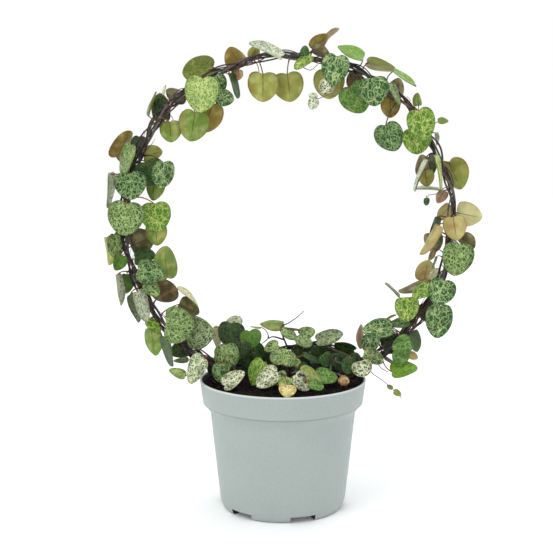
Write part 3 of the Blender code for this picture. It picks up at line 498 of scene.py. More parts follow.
def smooth_path(points, step):
    """Points about a step apart on a smooth curve through the points given."""
    ends = [points[0] * 2 - points[1], *points, points[-1] * 2 - points[-2]]
    path = [points[0]]
    for a, b, c, d in zip(ends, ends[1:], ends[2:], ends[3:]):
        pieces = max(1, round((c - b).length / step))
        for i in range(1, pieces + 1):
            t = i / pieces
            line = 2 * b + (c - a) * t
            square = (2 * a - 5 * b + 4 * c - d) * t**2
            cube = (3 * b - a - 3 * c + d) * t**3
            path.append((line + square + cube) / 2)
    return path


def nearest(point, paths):
    """The point of the paths that lies nearest."""
    best = paths[0][0]
    for path in paths:
        for a, b in zip(path, path[1:]):
            run = b - a
            share = min(1.0, max(0.0, (point - a).dot(run) / run.length_squared))
            found = a + share * run
            if (found - point).length < (best - point).length:
                best = found
    return best


def hoop_lengths():
    """Length of a leg, of a bend and of the circle."""
    turn = math.radians(HOOP_END_ANGLE - 90.0)
    end_z = HOOP_Z + HOOP_RADIUS * math.cos(math.radians(HOOP_END_ANGLE))
    leg = end_z - HOOP_BEND * math.sin(turn) - HOOP_FOOT_Z
    return leg, HOOP_BEND * turn, HOOP_RADIUS * 2 * math.radians(HOOP_END_ANGLE)


def hoop_total():
    leg, bend, circle = hoop_lengths()
    return 2 * (leg + bend) + circle


def hoop_length_at(clock):
    """Distance along the hoop from its left foot to a clock angle, 0 at the top."""
    leg, bend, _ = hoop_lengths()
    if abs(clock) > HOOP_END_ANGLE:
        return 0.0 if clock < 0 else hoop_total()
    return leg + bend + HOOP_RADIUS * math.radians(clock + HOOP_END_ANGLE)


def hoop_at(distance):
    """Point and outward direction of the hoop's middle line at a distance along it."""
    leg, bend, circle = hoop_lengths()
    side = 1.0 if distance > hoop_total() / 2 else -1.0
    past_circle = max(distance, hoop_total() - distance) - leg - bend - circle
    end = math.radians(HOOP_END_ANGLE)
    if past_circle <= 0:
        clock = end + past_circle / HOOP_RADIUS
        out = Vector((math.sin(clock), 0.0, math.cos(clock)))
        place = out * HOOP_RADIUS
    else:
        bend_middle = Vector((math.sin(end), 0.0, math.cos(end))) * (HOOP_RADIUS + HOOP_BEND)
        clock = end - min(past_circle, bend) / HOOP_BEND
        out = Vector((math.sin(clock), 0.0, math.cos(clock)))
        place = bend_middle - out * HOOP_BEND
        place.z -= max(past_circle - bend, 0.0)
    out.x *= side
    return Vector((HOOP_X + side * place.x, 0.0, HOOP_Z + place.z)), out


def strand(winding, start, end):
    """Middle line of one strand, wound round the hoop from start to end along it."""
    pieces = max(2, round((end - start) / STRAND_STEP))
    path = []
    for i in range(pieces + 1):
        distance = start + (end - start) * i / pieces
        place, out = hoop_at(distance)
        turn = 2 * math.pi * distance / winding.pitch + math.radians(winding.phase)
        sway = math.sin(distance / 13.0 + winding.phase) + math.sin(distance / 31.0)
        reach = winding.radius * (1 + winding.wander * sway / 2)
        offset = out * math.cos(turn) + Vector((0.0, math.sin(turn), 0.0))
        path.append(place + reach * offset)
    return path


def wound(path, phase):
    """A path that twines round another one."""
    made = []
    walked = 0.0
    for i, place in enumerate(path):
        run = path[min(i + 1, len(path) - 1)] - path[max(i - 1, 0)]
        side = run.cross(Vector((0.0, 1.0, 0.3))).normalized()
        lift = run.cross(side).normalized()
        turn = 2 * math.pi * walked / TWINE_PITCH + phase
        made.append(place + TWINE_RADIUS * (side * math.cos(turn) + lift * math.sin(turn)))
        walked += run.length / 2
    return made


# Meshes.


def colour(rgb, alpha=1.0):
    """A screen colour as the linear one that Blender mixes."""
    shares = (c / 255 for c in rgb)
    return (*(s / 12.92 if s <= 0.04045 else ((s + 0.055) / 1.055) ** 2.4 for s in shares), alpha)


LAYERS = {
    "ground": "FLOAT_COLOR",
    "marks": "FLOAT_COLOR",
    "under": "FLOAT_COLOR",
    "margin": "FLOAT_COLOR",
    "leaf_place": "FLOAT_VECTOR",
    "leaf_form": "FLOAT_VECTOR",
}


class Shape:
    """Points, faces, materials and colours of one object, gathered before its mesh is made."""

    def __init__(self):
        self.points = []
        self.faces = []
        self.slots = []
        self.layers = {name: [] for name in LAYERS}

    def add(self, points, faces, slot, **layers):
        first = len(self.points)
        self.points.extend(points)
        self.faces.extend(tuple(first + i for i in face) for face in faces)
        self.slots.extend([slot] * len(faces))
        for name, kind in LAYERS.items():
            width = 4 if kind == "FLOAT_COLOR" else 3
            values = np.zeros((len(points), width))
            values[:] = layers.get(name, 0.0)
            self.layers[name].append(values)

    def make(self, name, materials):
        mesh = bpy.data.meshes.new(name)
        mesh.from_pydata([tuple(co * MM for co in point) for point in self.points], [], self.faces)
        mesh.polygons.foreach_set("material_index", self.slots)
        for layer, kind in LAYERS.items():
            attribute = mesh.attributes.new(layer, kind, "POINT")
            values = np.concatenate(self.layers[layer]).astype(np.float32).ravel()
            attribute.data.foreach_set("color" if kind == "FLOAT_COLOR" else "vector", values)
        for material in materials:
            mesh.materials.append(material)
        mesh.shade_smooth()
        made = bpy.data.objects.new(name, mesh)
        bpy.context.scene.collection.objects.link(made)
        return made


def add_tube(shape, path, radii, sides, slot, tints):
    """A closed tube along a path; radii and tints give its radius and colour from start to end."""
    last = len(path) - 1
    points = []
    values = []
    side = (path[1] - path[0]).orthogonal().normalized()
    for i, place in enumerate(path):
        run = (path[min(i + 1, last)] - path[max(i - 1, 0)]).normalized()
        side = (side - run * side.dot(run)).normalized()
        lift = run.cross(side)
        share = i / last
        radius = float(np.interp(share, np.linspace(0, 1, len(radii)), radii))
        tint = [np.interp(share, np.linspace(0, 1, len(tints)), [t[k] for t in tints]) for k in range(4)]
        for k in range(sides):
            turn = 2 * math.pi * k / sides
            points.append(place + radius * (side * math.cos(turn) + lift * math.sin(turn)))
            values.append(tint)
    faces = [tuple(reversed(range(sides)))]
    for i in range(last):
        for k in range(sides):
            a, b = i * sides + k, i * sides + (k + 1) % sides
            faces.append((a, b, b + sides, a + sides))
    faces.append(tuple(range(last * sides, (last + 1) * sides)))
    shape.add(points, faces, slot, ground=np.array(values))


# Leaves.


def heart_outline():
    """One half of a blade's outline, from the notch to the tip."""
    knots = [Vector((a, b, 0.0)) for a, b in ((0.0, 0.0), *HEART_HALF, (HEART_TIP, 0.0))]
    fine = smooth_path(knots, 0.01)
    walked = [0.0]
    for a, b in zip(fine, fine[1:]):
        walked.append(walked[-1] + (b - a).length)
    even = np.linspace(0, walked[-1], HEART_STEPS + 1)
    return np.interp(even, walked, [p.x for p in fine]), np.interp(even, walked, [p.y for p in fine])


def blade_grid():
    """Every point of a blade as (row, cross step, half, side), shared where they meet, and its faces."""
    keys = {}

    def index(row, step, half, side):
        if row in (0, HEART_STEPS):
            key = (row, 0, 0, 0)
        elif step == 0:
            key = (row, 0, 0, side)
        elif step == len(CROSS_STEPS) - 1:
            key = (row, step, half, 0)
        else:
            key = (row, step, half, side)
        return keys.setdefault(key, len(keys))

    faces = []
    for side in (1, -1):
        for half in (1, -1):
            for row in range(HEART_STEPS):
                for step in range(len(CROSS_STEPS) - 1):
                    corners = ((row, step), (row + 1, step), (row + 1, step + 1), (row, step + 1))
                    face = list(dict.fromkeys(index(r, s, half, side) for r, s in corners))
                    if len(face) > 2:
                        faces.append(tuple(face if side * half > 0 else reversed(face)))
    return np.array(list(keys)), faces


def leaf_axes(leaf):
    """Directions of a leaf: along to the tip, across, and out of its upper side."""
    tip, pitch, roll = (math.radians(angle) for angle in (leaf.tip, leaf.pitch, leaf.roll))
    flat = Vector((math.cos(tip), 0.0, math.sin(tip)))
    to_eye = Vector((0.0, -1.0, 0.0))
    along = flat * math.cos(pitch) + to_eye * math.sin(pitch)
    face = to_eye * math.cos(pitch) - flat * math.sin(pitch)
    up = face * math.cos(roll) + face.cross(along) * math.sin(roll)
    return along, up.cross(along), up


def true_size(leaf):
    return leaf.length * seen_scale(leaf.y), leaf.width * seen_scale(leaf.y)


def leaf_base(leaf):
    """Where the petiole meets the blade."""
    return seen(leaf.x, leaf.z, leaf.y) - leaf_axes(leaf)[0] * HEART_MIDDLE * true_size(leaf)[0]


def opposite(leaf):
    """The leaf hidden behind this one, its upper side turned to the back."""
    return leaf._replace(
        y=leaf.mate,
        length=leaf.length * OPPOSITE_SIZE,
        width=leaf.width * OPPOSITE_SIZE,
        roll=leaf.roll + 180.0,
        tone="olive",
        mate=None,
    )


def with_opposites(leaves):
    return [*leaves, *(opposite(leaf) for leaf in leaves if leaf.mate is not None)]


def leaf_tones(leaf, draw):
    """Upper tone and underside colour: the leaf's own tone on the side that shows."""
    shows_upper = math.cos(math.radians(leaf.roll)) > 0
    upper = UPPERS[draw.choice(HIDDEN_UPPERS)]
    under = UNDERS[draw.choice(HIDDEN_UNDERS)]
    if leaf.tone in UNDERS:
        under = UNDERS[leaf.tone]
        if shows_upper:
            upper = Upper(under, tuple(min(255, c + 18) for c in under), 0.3, 0.5, under)
    else:
        upper = UPPERS[leaf.tone]
        if not shows_upper:
            under = upper.ground
    return upper, under


def add_blade(shape, leaf, form_draw, draw):
    """A blade with a fold along the midrib, a curled tip, a waved edge and a rounded margin."""
    length, width = true_size(leaf)
    along, across, up = leaf_axes(leaf)
    base = leaf_base(leaf)
    fold = math.tan(math.radians(form_draw.uniform(*FOLD_RANGE)))
    curl = form_draw.uniform(*CURL_RANGE)
    keys, faces = GRID
    row, step, half, side = keys.T
    share = np.array(CROSS_STEPS)[step]
    rim_a, rim_b = OUTLINE[0][row], OUTLINE[1][row]
    rim_a = np.where(rim_a < 0, rim_a * draw.uniform(*NOTCH_RANGE), rim_a)
    middle = HEART_TIP * (row / HEART_STEPS) ** 1.15
    ends = (row == 0) | (row == HEART_STEPS)
    share = np.where(ends, 1.0, share)
    a = (middle + (rim_a - middle) * share) * length
    skew = 1 + draw.uniform(-0.05, 0.05) * half
    b = half * rim_b * share * width * skew
    phase = draw.uniform(0, 2 * math.pi)
    wave = WAVE * share**3 * np.sin(row / HEART_STEPS * 2 * math.pi * 1.5 + phase + half)
    height = fold * (np.hypot(b, FOLD_SOFTNESS) - FOLD_SOFTNESS) - curl * a * np.abs(a) / length
    height = height + wave * min(1.0, length / 20)
    thick = BLADE_THICKNESS / 2 * np.sqrt(1 - share**4) * min(1.0, 0.5 + length / 30)
    height = height + side * thick
    points = np.array(base) + np.outer(a, along) + np.outer(b, across) + np.outer(height, up)
    seed = draw.uniform(0, 400)
    place = np.stack((a, b, np.full(len(a), seed)), axis=1)
    form = np.stack((share, (side + 1) / 2, a / length), axis=1)
    upper, under = leaf_tones(leaf, draw)
    shape.add(
        points.tolist(),
        faces,
        0,
        ground=colour(upper.ground, upper.spread),
        marks=colour(upper.marks, upper.fine),
        under=colour(under),
        margin=colour(upper.margin),
        leaf_place=place,
        leaf_form=form,
    )


def add_petiole(shape, leaf, paths, draw):
    """A thin bowed stalk, thicker at its foot, that runs in under the blade."""
    base = leaf_base(leaf)
    along, _, up = leaf_axes(leaf)
    end = nearest(base, paths)
    if (end - base).length < SHORTEST_PETIOLE:
        end = base - along * SHORTEST_PETIOLE
    length = (base - end).length
    bend = (base + end) / 2 - (along + 0.6 * up) * length * PETIOLE_BOW
    path = []
    for i in range(PETIOLE_STEPS):
        t = i / PETIOLE_STEPS
        path.append(end * (1 - t) ** 2 + bend * 2 * t * (1 - t) + base * t**2)
    path.append(base - up * 0.15)
    path.append(base + along * min(2.0, 0.12 * leaf.length) - up * 0.25)
    tint = colour(draw.choice(PETIOLE_COLOURS))
    foot = colour(draw.choice(STEM_COLOURS))
    thick = PETIOLE_RADIUS * min(1.0, 0.45 + leaf.length / 30)
    add_tube(shape, path, (1.9 * thick, thick, thick, 1.1 * thick), 7, 1, (foot, tint, tint))


def add_leaves(shape, leaves, paths, form_draw, draw):
    for leaf in with_opposites(leaves):
        add_blade(shape, leaf, form_draw, draw)
        add_petiole(shape, leaf, paths, draw)


# Nodes and their pieces.


def place_piece(piece, slot, *nodes):
    """Puts a piece on the one body, in place of its nodes; the slot for its finish is not used."""
    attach(piece, "root")
    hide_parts(*nodes)
    return piece


def grow(name, stems, paths, leaves, number, twigs=False):
    """The finer piece for one node of foliage: stems as (path, radii, colour), leaves, shoots."""
    form_draw = random.Random(SEED + number)
    draw = random.Random(100 * SEED + number)
    shape = Shape()
    for path, radii, tint in stems:
        add_tube(shape, path, radii, STRAND_SIDES, 1, (colour(tint),) * 2)
    add_leaves(shape, leaves, paths, form_draw, draw)
    if twigs:
        add_twigs(shape, paths, number)
    for shoot in SHOOTS.get(name, ()):
        line = [seen(*point) for point in shoot.points]
        path = smooth_path([nearest(line[0], paths), *line], STEM_STEP)
        tints = (colour(STEM_COLOURS[0]), colour(SHOOT_COLOUR), colour(SHOOT_COLOUR))
        radius = SHOOT_SHARE * shoot.radius
        add_tube(shape, path, (radius, 0.7 * radius), 6, 1, tints)
        add_leaves(shape, shoot.leaves, [path], form_draw, draw)
    if name in TUBERS:
        add_tuber(shape, TUBERS[name], draw)
    place_piece(shape.make(f"{name}_leaves", MATERIALS), "foliage", name)


def add_tuber(shape, tuber, draw):
    """A small lumpy tuber."""
    ball = bmesh.new()
    bmesh.ops.create_icosphere(ball, subdivisions=3, radius=tuber.radius)
    middle = seen(tuber.x, tuber.z, tuber.y)
    offset = Vector((draw.uniform(0, 50), 0.0, 0.0))
    points = [middle + v.co * (1 + 0.3 * noise.noise(v.co / 1.8 + offset)) for v in ball.verts]
    shares = [0.5 + 0.9 * noise.noise(v.co / 1.3 - offset) for v in ball.verts]
    faces = [tuple(v.index for v in face.verts) for face in ball.faces]
    ball.free()
    dark, light = (np.array(colour(tint)) for tint in TUBER_COLOURS)
    tints = dark + np.outer(np.clip(shares, 0, 1), light - dark)
    shape.add(points, faces, 1, ground=tints)


def add_twigs(shape, strands, number):
    """Thin bowed stalks along a bundle, which leave one strand and end at another."""
    draw = random.Random(1000 * SEED + number)
    for _ in range(round(len(strands[0]) * STRAND_STEP / TWIG_EVERY)):
        i = draw.randrange(1, len(strands[0]) - TWIG_SPAN - 1)
        start = draw.choice(strands)[i]
        end = draw.choice(strands)[i + draw.randint(2, TWIG_SPAN)]
        side = Vector((draw.uniform(-1, 1), draw.uniform(-1, 1), draw.uniform(-1, 1))).normalized()
        bend = (start + end) / 2 + side * draw.uniform(*TWIG_BOW)
        path = []
        for k in range(PETIOLE_STEPS + 1):
            t = k / PETIOLE_STEPS
            path.append(start * (1 - t) ** 2 + bend * 2 * t * (1 - t) + end * t**2)
        tint = colour(draw.choice(TWIG_COLOURS))
        add_tube(shape, path, (0.34, 0.24, 0.3), 6, 1, (tint, tint))


def make_vines():
    for i, (name, (first, last, leaves)) in enumerate(VINES.items()):
        start = max(hoop_length_at(first) - VINE_OVERLAP, VINE_FOOT)
        end = min(hoop_length_at(last) + VINE_OVERLAP, hoop_total() - VINE_FOOT)
        tints = (*STEM_COLOURS, STEM_COLOURS[0])
        stems = [
            (strand(w, start, end), (w.thickness, w.thickness), tint)
            for w, tint in zip(WINDINGS, tints)
        ]
        if name in THICK_VINES:
            for w in MORE_WINDINGS:
                radii = (LOOSE_END, w.thickness, w.thickness, w.thickness, LOOSE_END)
                stems.append((strand(w, start, end), radii, STEM_COLOURS[2]))
        grow(name, stems, [path for path, _, _ in stems[:3]], leaves, i, twigs=True)


def sprig_paths(sprig):
    """Middle lines of a sprig's stems, the rooted ones starting deep in the soil."""
    paths = []
    for i, stem in enumerate(sprig.stems):
        line = [seen(*point) for point in stem]
        foot = []
        if i < len(sprig.roots):
            x, y = sprig.roots[i]
            foot.append(Vector((x, y, ROOT_FOOT_Z)))
            line.insert(0, Vector((x, y, ROOT_TOP_Z)))
        paths.append(foot + smooth_path(line, STEM_STEP))
    return paths


def make_sprigs():
    for i, (name, sprig) in enumerate(SPRIGS.items()):
        paths = sprig_paths(sprig)
        if name == "crossing_vines":
            thick, thin = (paths[0], paths[1], paths[-1]), paths[2:-1]
            turns = [(path, k) for path in thick for k in range(3)]
            stems = [(wound(path, 2.1 * k), (0.75, 0.75), STEM_COLOURS[k]) for path, k in turns]
            stems += [(path, (0.7, 0.3), STEM_COLOURS[3]) for path in thin]
        else:
            stems = [(path, (sprig.radius, 0.7), STEM_COLOURS[i % 5]) for path in paths]
        grow(name, stems, paths, sprig.leaves, len(VINES) + i)


def make_hoop():
    pieces = round(hoop_total() / STRAND_STEP)
    path = [hoop_at(hoop_total() * i / pieces)[0] for i in range(pieces + 1)]
    shape = Shape()
    add_tube(shape, path, (WIRE_RADIUS, WIRE_RADIUS), 10, 0, (colour((60, 78, 62)),) * 2)
    place_piece(shape.make("hoop_wire", (coat_material(),)), "hoop_wire", "hoop")


def soil_height(x, y):
    """Height of the lumpy soil at a point."""
    heap = SOIL_HEAP * (1 - (math.hypot(x, y) / SOIL_EDGE[0]) ** 2)
    lumps = 1.5 * noise.noise(Vector((x, y, 3.0)) / 7) + 0.8 * noise.noise(Vector((x, y, 9.0)) / 2.4)
    return SOIL_EDGE[1] + heap + lumps


def make_soil():
    shape = Shape()
    draw = random.Random(SEED)
    points = [Vector((0.0, 0.0, soil_height(0.0, 0.0)))]
    rings = [(SOIL_EDGE[0] * (i + 1) / SOIL_RINGS, None) for i in range(SOIL_RINGS)]
    for radius, z in (*rings, *SOIL_SIDE):
        for k in range(SOIL_SEGMENTS):
            turn = 2 * math.pi * k / SOIL_SEGMENTS
            x, y = radius * math.cos(turn), radius * math.sin(turn)
            points.append(Vector((x, y, soil_height(x, y) if z is None else z)))
    faces = [(0, 1 + k, 1 + (k + 1) % SOIL_SEGMENTS) for k in range(SOIL_SEGMENTS)]
    for i in range(len(rings) + len(SOIL_SIDE) - 1):
        for k in range(SOIL_SEGMENTS):
            a = 1 + i * SOIL_SEGMENTS + k
            b = 1 + i * SOIL_SEGMENTS + (k + 1) % SOIL_SEGMENTS
            faces.append((a, a + SOIL_SEGMENTS, b + SOIL_SEGMENTS, b))
    faces.append(tuple(reversed(range(len(points) - SOIL_SEGMENTS, len(points)))))
    shape.add(points, faces, 0, ground=colour((26, 20, 17)))
    for _ in range(CRUMBS):
        add_crumb(shape, draw)
    place_piece(shape.make("soil_crumbs", (soil_material(),)), "soil", "soil")


def add_crumb(shape, draw):
    """One crumb, bit of bark or fibre on the soil, turned any way."""
    radius = SOIL_EDGE[0] * math.sqrt(draw.uniform(0, 0.97))
    turn = draw.uniform(0, 2 * math.pi)
    x, y = radius * math.cos(turn), radius * math.sin(turn)
    size = draw.uniform(*CRUMB_SIZE) / 2
    kind = draw.random()
    stretch, tint = (1.0, (26, 21, 18))
    if kind > 0.95:
        stretch, tint = (3.2, (104, 68, 42))
    elif kind > 0.89:
        stretch, tint = (1.5, (78, 44, 30))
    elif kind > 0.6:
        tint = (42, 31, 25)
    ball = bmesh.new()
    bmesh.ops.create_icosphere(ball, subdivisions=1, radius=size)
    spin = Vector((draw.uniform(-1, 1), draw.uniform(-1, 1), draw.uniform(-0.4, 0.4))).to_track_quat()
    middle = Vector((x, y, soil_height(x, y) + 0.3 * size))
    shares = Vector((1 / stretch**0.5, draw.uniform(0.5, 0.9) / stretch**0.5, stretch))
    points = []
    for vertex in ball.verts:
        lump = vertex.co * draw.uniform(0.75, 1.2)
        points.append(middle + spin @ Vector((lump[k] * shares[k] for k in range(3))))
    faces = [tuple(v.index for v in face.verts) for face in ball.faces]
    ball.free()
    shape.add(points, faces, 0, ground=colour(tint))


def make_pot():
    mesh = bpy.data.meshes.new("pot_outline")
    outline = [Vector((radius, 0.0, z)) * MM for radius, z in POT_OUTLINE]
    mesh.from_pydata(outline, [(i, i + 1) for i in range(len(outline) - 1)], [])
    blank = bpy.data.objects.new("pot_blank", mesh)
    bpy.context.scene.collection.objects.link(blank)
    screw = blank.modifiers.new("screw", "SCREW")
    screw.steps = screw.render_steps = POT_SEGMENTS
    screw.use_merge_vertices = True
    screw.merge_threshold = 0.00001
    cutters = [notch_cutter(i) for i in range(NOTCHES)]
    for cutter in cutters:
        cut = blank.modifiers.new("notch", "BOOLEAN")
        cut.operation = "DIFFERENCE"
        cut.object = cutter
    graph = bpy.context.evaluated_depsgraph_get()
    turned = bpy.data.meshes.new_from_object(blank.evaluated_get(graph))
    turned.shade_smooth()
    turned.set_sharp_from_angle(angle=math.radians(32))
    turned.materials.clear()
    turned.materials.append(pot_material("pot_plastic", POT_COLOURS))
    # The inner wall and the notch faces take a darker copy of the plastic as painted shade.
    turned.materials.append(pot_material("pot_painted_shade", PAINTED_SHADE_COLOURS))
    for face in turned.polygons:
        face.material_index = int(gets_painted_shade(face))
    for old in (blank, *cutters):
        bpy.data.objects.remove(old)
    pot = bpy.data.objects.new("pot_shell", turned)
    bpy.context.scene.collection.objects.link(pot)
    place_piece(pot, "pot_plastic", "pot")


def gets_painted_shade(face):
    """True on the faces that get painted shade: the inner wall above the soil's foot and inside the notches."""
    away = face.center.xy.length
    outward = face.normal.xy.dot(face.center.xy) / max(away, MM)
    in_notch = 0.01 * MM < face.center.z < 1.01 * NOTCH_HEIGHT * MM and outward < 0.5
    return in_notch or (outward < 0 and face.center.z > PAINTED_SHADE_FROM_Z * MM)


def notch_cutter(number):
    angle = math.radians(FIRST_NOTCH_ANGLE - 90.0 + 360.0 * number / NOTCHES)
    bpy.ops.mesh.primitive_cube_add(size=1.0)
    cutter = bpy.context.object
    reach = (NOTCH_INNER_RADIUS + NOTCH_DEPTH / 2) * MM
    cutter.scale = Vector((NOTCH_DEPTH, NOTCH_WIDTH, 2 * NOTCH_HEIGHT)) * MM
    cutter.location = (reach * math.cos(angle), reach * math.sin(angle), 0.0)
    cutter.rotation_euler = (0.0, 0.0, angle)
    return cutter


# Materials.


def new_node(tree, kind, inputs=None, **settings):
    """A node with its settings, its inputs given as values or as sockets to link."""
    made = tree.nodes.new(f"ShaderNode{kind}")
    for key, value in settings.items():
        setattr(made, key, value)
    for key, value in (inputs or {}).items():
        if isinstance(value, bpy.types.NodeSocket):
            tree.links.new(value, made.inputs[key])
        else:
            made.inputs[key].default_value = value
    return made


def math_node(tree, operation, *values):
    return new_node(tree, "Math", dict(enumerate(values)), operation=operation).outputs[0]


def ramp(tree, value, low, high):
    """A smooth step from 0 where the value is low to 1 where it is high."""
    inputs = {"Value": value, "From Min": low, "From Max": high}
    return new_node(tree, "MapRange", inputs, interpolation_type="SMOOTHSTEP").outputs[0]


def mix(tree, factor, a, b, blend="MIX"):
    inputs = {"Factor": factor, 6: a, 7: b}
    return new_node(tree, "Mix", inputs, data_type="RGBA", blend_type=blend).outputs[2]


def grain(tree, vector, scale, detail=2.0):
    inputs = {"Vector": vector, "Scale": scale, "Detail": detail}
    return new_node(tree, "TexNoise", inputs).outputs["Fac"]


def new_material(name, roughness, specular=0.5):
    """A material with its node tree and its shader."""
    material = bpy.data.materials.new(name)
    material.use_nodes = True
    tree = material.node_tree
    shader = tree.nodes["Principled BSDF"]
    shader.inputs["Roughness"].default_value = roughness
    shader.inputs["Specular IOR Level"].default_value = specular
    return material, tree, shader


def add_bump(tree, shader, height, distance, strength=1.0):
    inputs = {"Height": height, "Distance": distance, "Strength": strength}
    tree.links.new(new_node(tree, "Bump", inputs).outputs[0], shader.inputs["Normal"])


def product(tree, *values):
    """The values multiplied together."""
    made = values[0]
    for value in values[1:]:
        made = math_node(tree, "MULTIPLY", made, value)
    return made


def inverse(tree, value):
    return math_node(tree, "SUBTRACT", 1.0, value)


def warped_place(tree, place):
    """A leaf's own place, bent so that its net isn't even."""
    bend = new_node(tree, "TexNoise", {"Vector": place, "Scale": 0.3}).outputs["Color"]
    for operation, key, value in (("SUBTRACT", 1, (0.5, 0.5, 0.5)), ("SCALE", "Scale", 4.5)):
        bend = new_node(tree, "VectorMath", {0: bend, key: value}, operation=operation).outputs[0]
    return new_node(tree, "VectorMath", {0: place, 1: bend}, operation="ADD").outputs[0]


def vein_rays(tree, place):
    """Distance in mm from veins that fan out from the notch."""
    x, y, _ = new_node(tree, "SeparateXYZ", {"Vector": place}).outputs
    turn = math_node(tree, "ARCTAN2", y, math_node(tree, "ADD", x, 1.0))
    wave = math_node(tree, "SINE", math_node(tree, "MULTIPLY", turn, VEINS))
    away = math_node(tree, "SQRT", math_node(tree, "MULTIPLY_ADD", x, x, product(tree, y, y)))
    return product(tree, math_node(tree, "ABSOLUTE", wave), away, 1 / VEINS)


def leaf_net(tree, place, share, spread, fine):
    """Shares of the pale net and of the mid green beside it; the net closes up in patches."""
    warped = warped_place(tree, place)
    longer = new_node(tree, "VectorMath", {0: warped, 1: (0.78, 1.1, 1.0)}, operation="MULTIPLY").outputs[0]
    scale = math_node(tree, "MULTIPLY_ADD", fine, 0.22, 0.17)
    edge = vein_rays(tree, warped)
    for finer, thinness in NET_LAYERS:
        inputs = {"Vector": longer, "Scale": product(tree, scale, finer)}
        cell = new_node(tree, "TexVoronoi", inputs, feature="DISTANCE_TO_EDGE").outputs["Distance"]
        cell = math_node(tree, "DIVIDE", product(tree, cell, thinness), scale)
        edge = math_node(tree, "MINIMUM", edge, cell)
    middle = math_node(tree, "MULTIPLY_ADD", ramp(tree, share, 0.3, 0.95), -0.65, 1.0)
    patch = math_node(tree, "MULTIPLY_ADD", grain(tree, place, 0.17), 2.6, -0.5)
    patch = math_node(tree, "MAXIMUM", patch, 0.0)
    width = math_node(tree, "MULTIPLY_ADD", product(tree, spread, patch, middle), NET_WIDTH, 0.04)
    inner = math_node(tree, "SUBTRACT", width, 0.06)
    outer = math_node(tree, "ADD", width, 0.06)
    halo_end = math_node(tree, "ADD", width, 0.45)
    return inverse(tree, ramp(tree, edge, inner, outer)), inverse(tree, ramp(tree, edge, width, halo_end))


def upper_colour(tree, net, halo, share, ground, marks, margin):
    """Dark cells, mid green round them, the pale net, and the margin."""
    shade = mix(tree, product(tree, halo, 0.3), ground, marks)
    shade = mix(tree, net, shade, marks)
    return mix(tree, product(tree, ramp(tree, share, 0.9, 1.0), 0.75), shade, margin)


def under_colour(tree, place, share, reach, ribbed, under):
    """A plain underside with a dark midrib, faint veins, a darker rim and a brown blush."""
    dark = mix(tree, 1.0, under, (0.42, 0.36, 0.34, 1.0), "MULTIPLY")
    light = mix(tree, 0.35, under, (0.60, 0.62, 0.26, 1.0))
    shade = mix(tree, ramp(tree, grain(tree, place, 0.16), 0.4, 0.7), under, light)
    shade = mix(tree, product(tree, ribbed, 0.8), shade, dark)
    faint = inverse(tree, ramp(tree, vein_rays(tree, place), 0.0, 0.2))
    shade = mix(tree, product(tree, faint, 0.2), shade, dark)
    shade = mix(tree, product(tree, ramp(tree, share, 0.84, 1.0), 0.5), shade, dark)
    brown = mix(tree, 1.0, shade, (0.92, 0.6, 0.46, 1.0), "MULTIPLY")
    return mix(tree, product(tree, ramp(tree, grain(tree, place, 0.09, 3.0), 0.46, 0.7), 0.7), shade, brown)


def leaf_material():
    """Marbled upper side and plain underside, from the colours that each leaf carries."""
    material, tree, shader = new_material("leaf", 0.42, 0.25)
    place, form = (
        new_node(tree, "Attribute", attribute_name=name).outputs["Vector"]
        for name in ("leaf_place", "leaf_form")
    )
    share, side, reach = new_node(tree, "SeparateXYZ", {"Vector": form}).outputs
    ground, marks = (
        new_node(tree, "Attribute", attribute_name=name).outputs for name in ("ground", "marks")
    )
    under, margin = (
        new_node(tree, "Attribute", attribute_name=name).outputs["Color"]
        for name in ("under", "margin")
    )
    net, halo = leaf_net(tree, place, share, ground["Alpha"], marks["Alpha"])
    top = upper_colour(tree, net, halo, share, ground["Color"], marks["Color"], margin)
    off_rib = math_node(tree, "ABSOLUTE", new_node(tree, "SeparateXYZ", {"Vector": place}).outputs[1])
    ribbed = product(tree, inverse(tree, ramp(tree, off_rib, 0.1, 0.5)), inverse(tree, ramp(tree, reach, 0.5, 0.8)))
    below = under_colour(tree, place, share, reach, ribbed, under)
    both = mix(tree, math_node(tree, "GREATER_THAN", side, 0.5), below, top)
    tone = math_node(tree, "MULTIPLY_ADD", grain(tree, place, 0.13), 0.7, 0.65)
    tone = new_node(tree, "CombineXYZ", {0: tone, 1: tone, 2: tone}).outputs[0]
    tree.links.new(mix(tree, 1.0, both, tone, "MULTIPLY"), shader.inputs["Base Color"])
    shader.inputs["Subsurface Weight"].default_value = 0.12
    shader.inputs["Subsurface Scale"].default_value = 0.002
    relief = math_node(tree, "ADD", product(tree, net, 0.5), product(tree, grain(tree, place, 1.6), 0.8))
    relief = math_node(tree, "SUBTRACT", relief, product(tree, ribbed, 0.8))
    add_bump(tree, shader, relief, 0.00018)
    return material


def stem_material():
    """Dark bark with a painted grey sheen along it."""
    material, tree, shader = new_material("stem", 0.5, 0.4)
    ground = new_node(tree, "Attribute", attribute_name="ground").outputs["Color"]
    place = new_node(tree, "TexCoord").outputs["Object"]
    # Painted sheen: pale grey patches added along the strands.
    painted_sheen = ramp(tree, grain(tree, place, 420.0), 0.52, 0.72)
    pale = mix(tree, 1.0, ground, (0.16, 0.15, 0.16, 1.0), "ADD")
    shade = mix(tree, math_node(tree, "MULTIPLY", painted_sheen, 0.6), ground, pale)
    tree.links.new(shade, shader.inputs["Base Color"])
    add_bump(tree, shader, grain(tree, place, 1500.0, 3.0), 0.0002)
    return material


def coat_material():
    """Smooth plastic coat of the wire."""
    material, tree, shader = new_material("wire_coat", 0.4)
    ground = new_node(tree, "Attribute", attribute_name="ground").outputs["Color"]
    place = new_node(tree, "TexCoord").outputs["Object"]
    coat_wear_and_rim_highlight = mix(tree, 1.0, ground, (0.5, 0.5, 0.5, 1.0), "MULTIPLY")
    tree.links.new(mix(tree, grain(tree, place, 300.0), ground, coat_wear_and_rim_highlight), shader.inputs["Base Color"])
    add_bump(tree, shader, grain(tree, place, 2000.0), 0.00005)
    return material


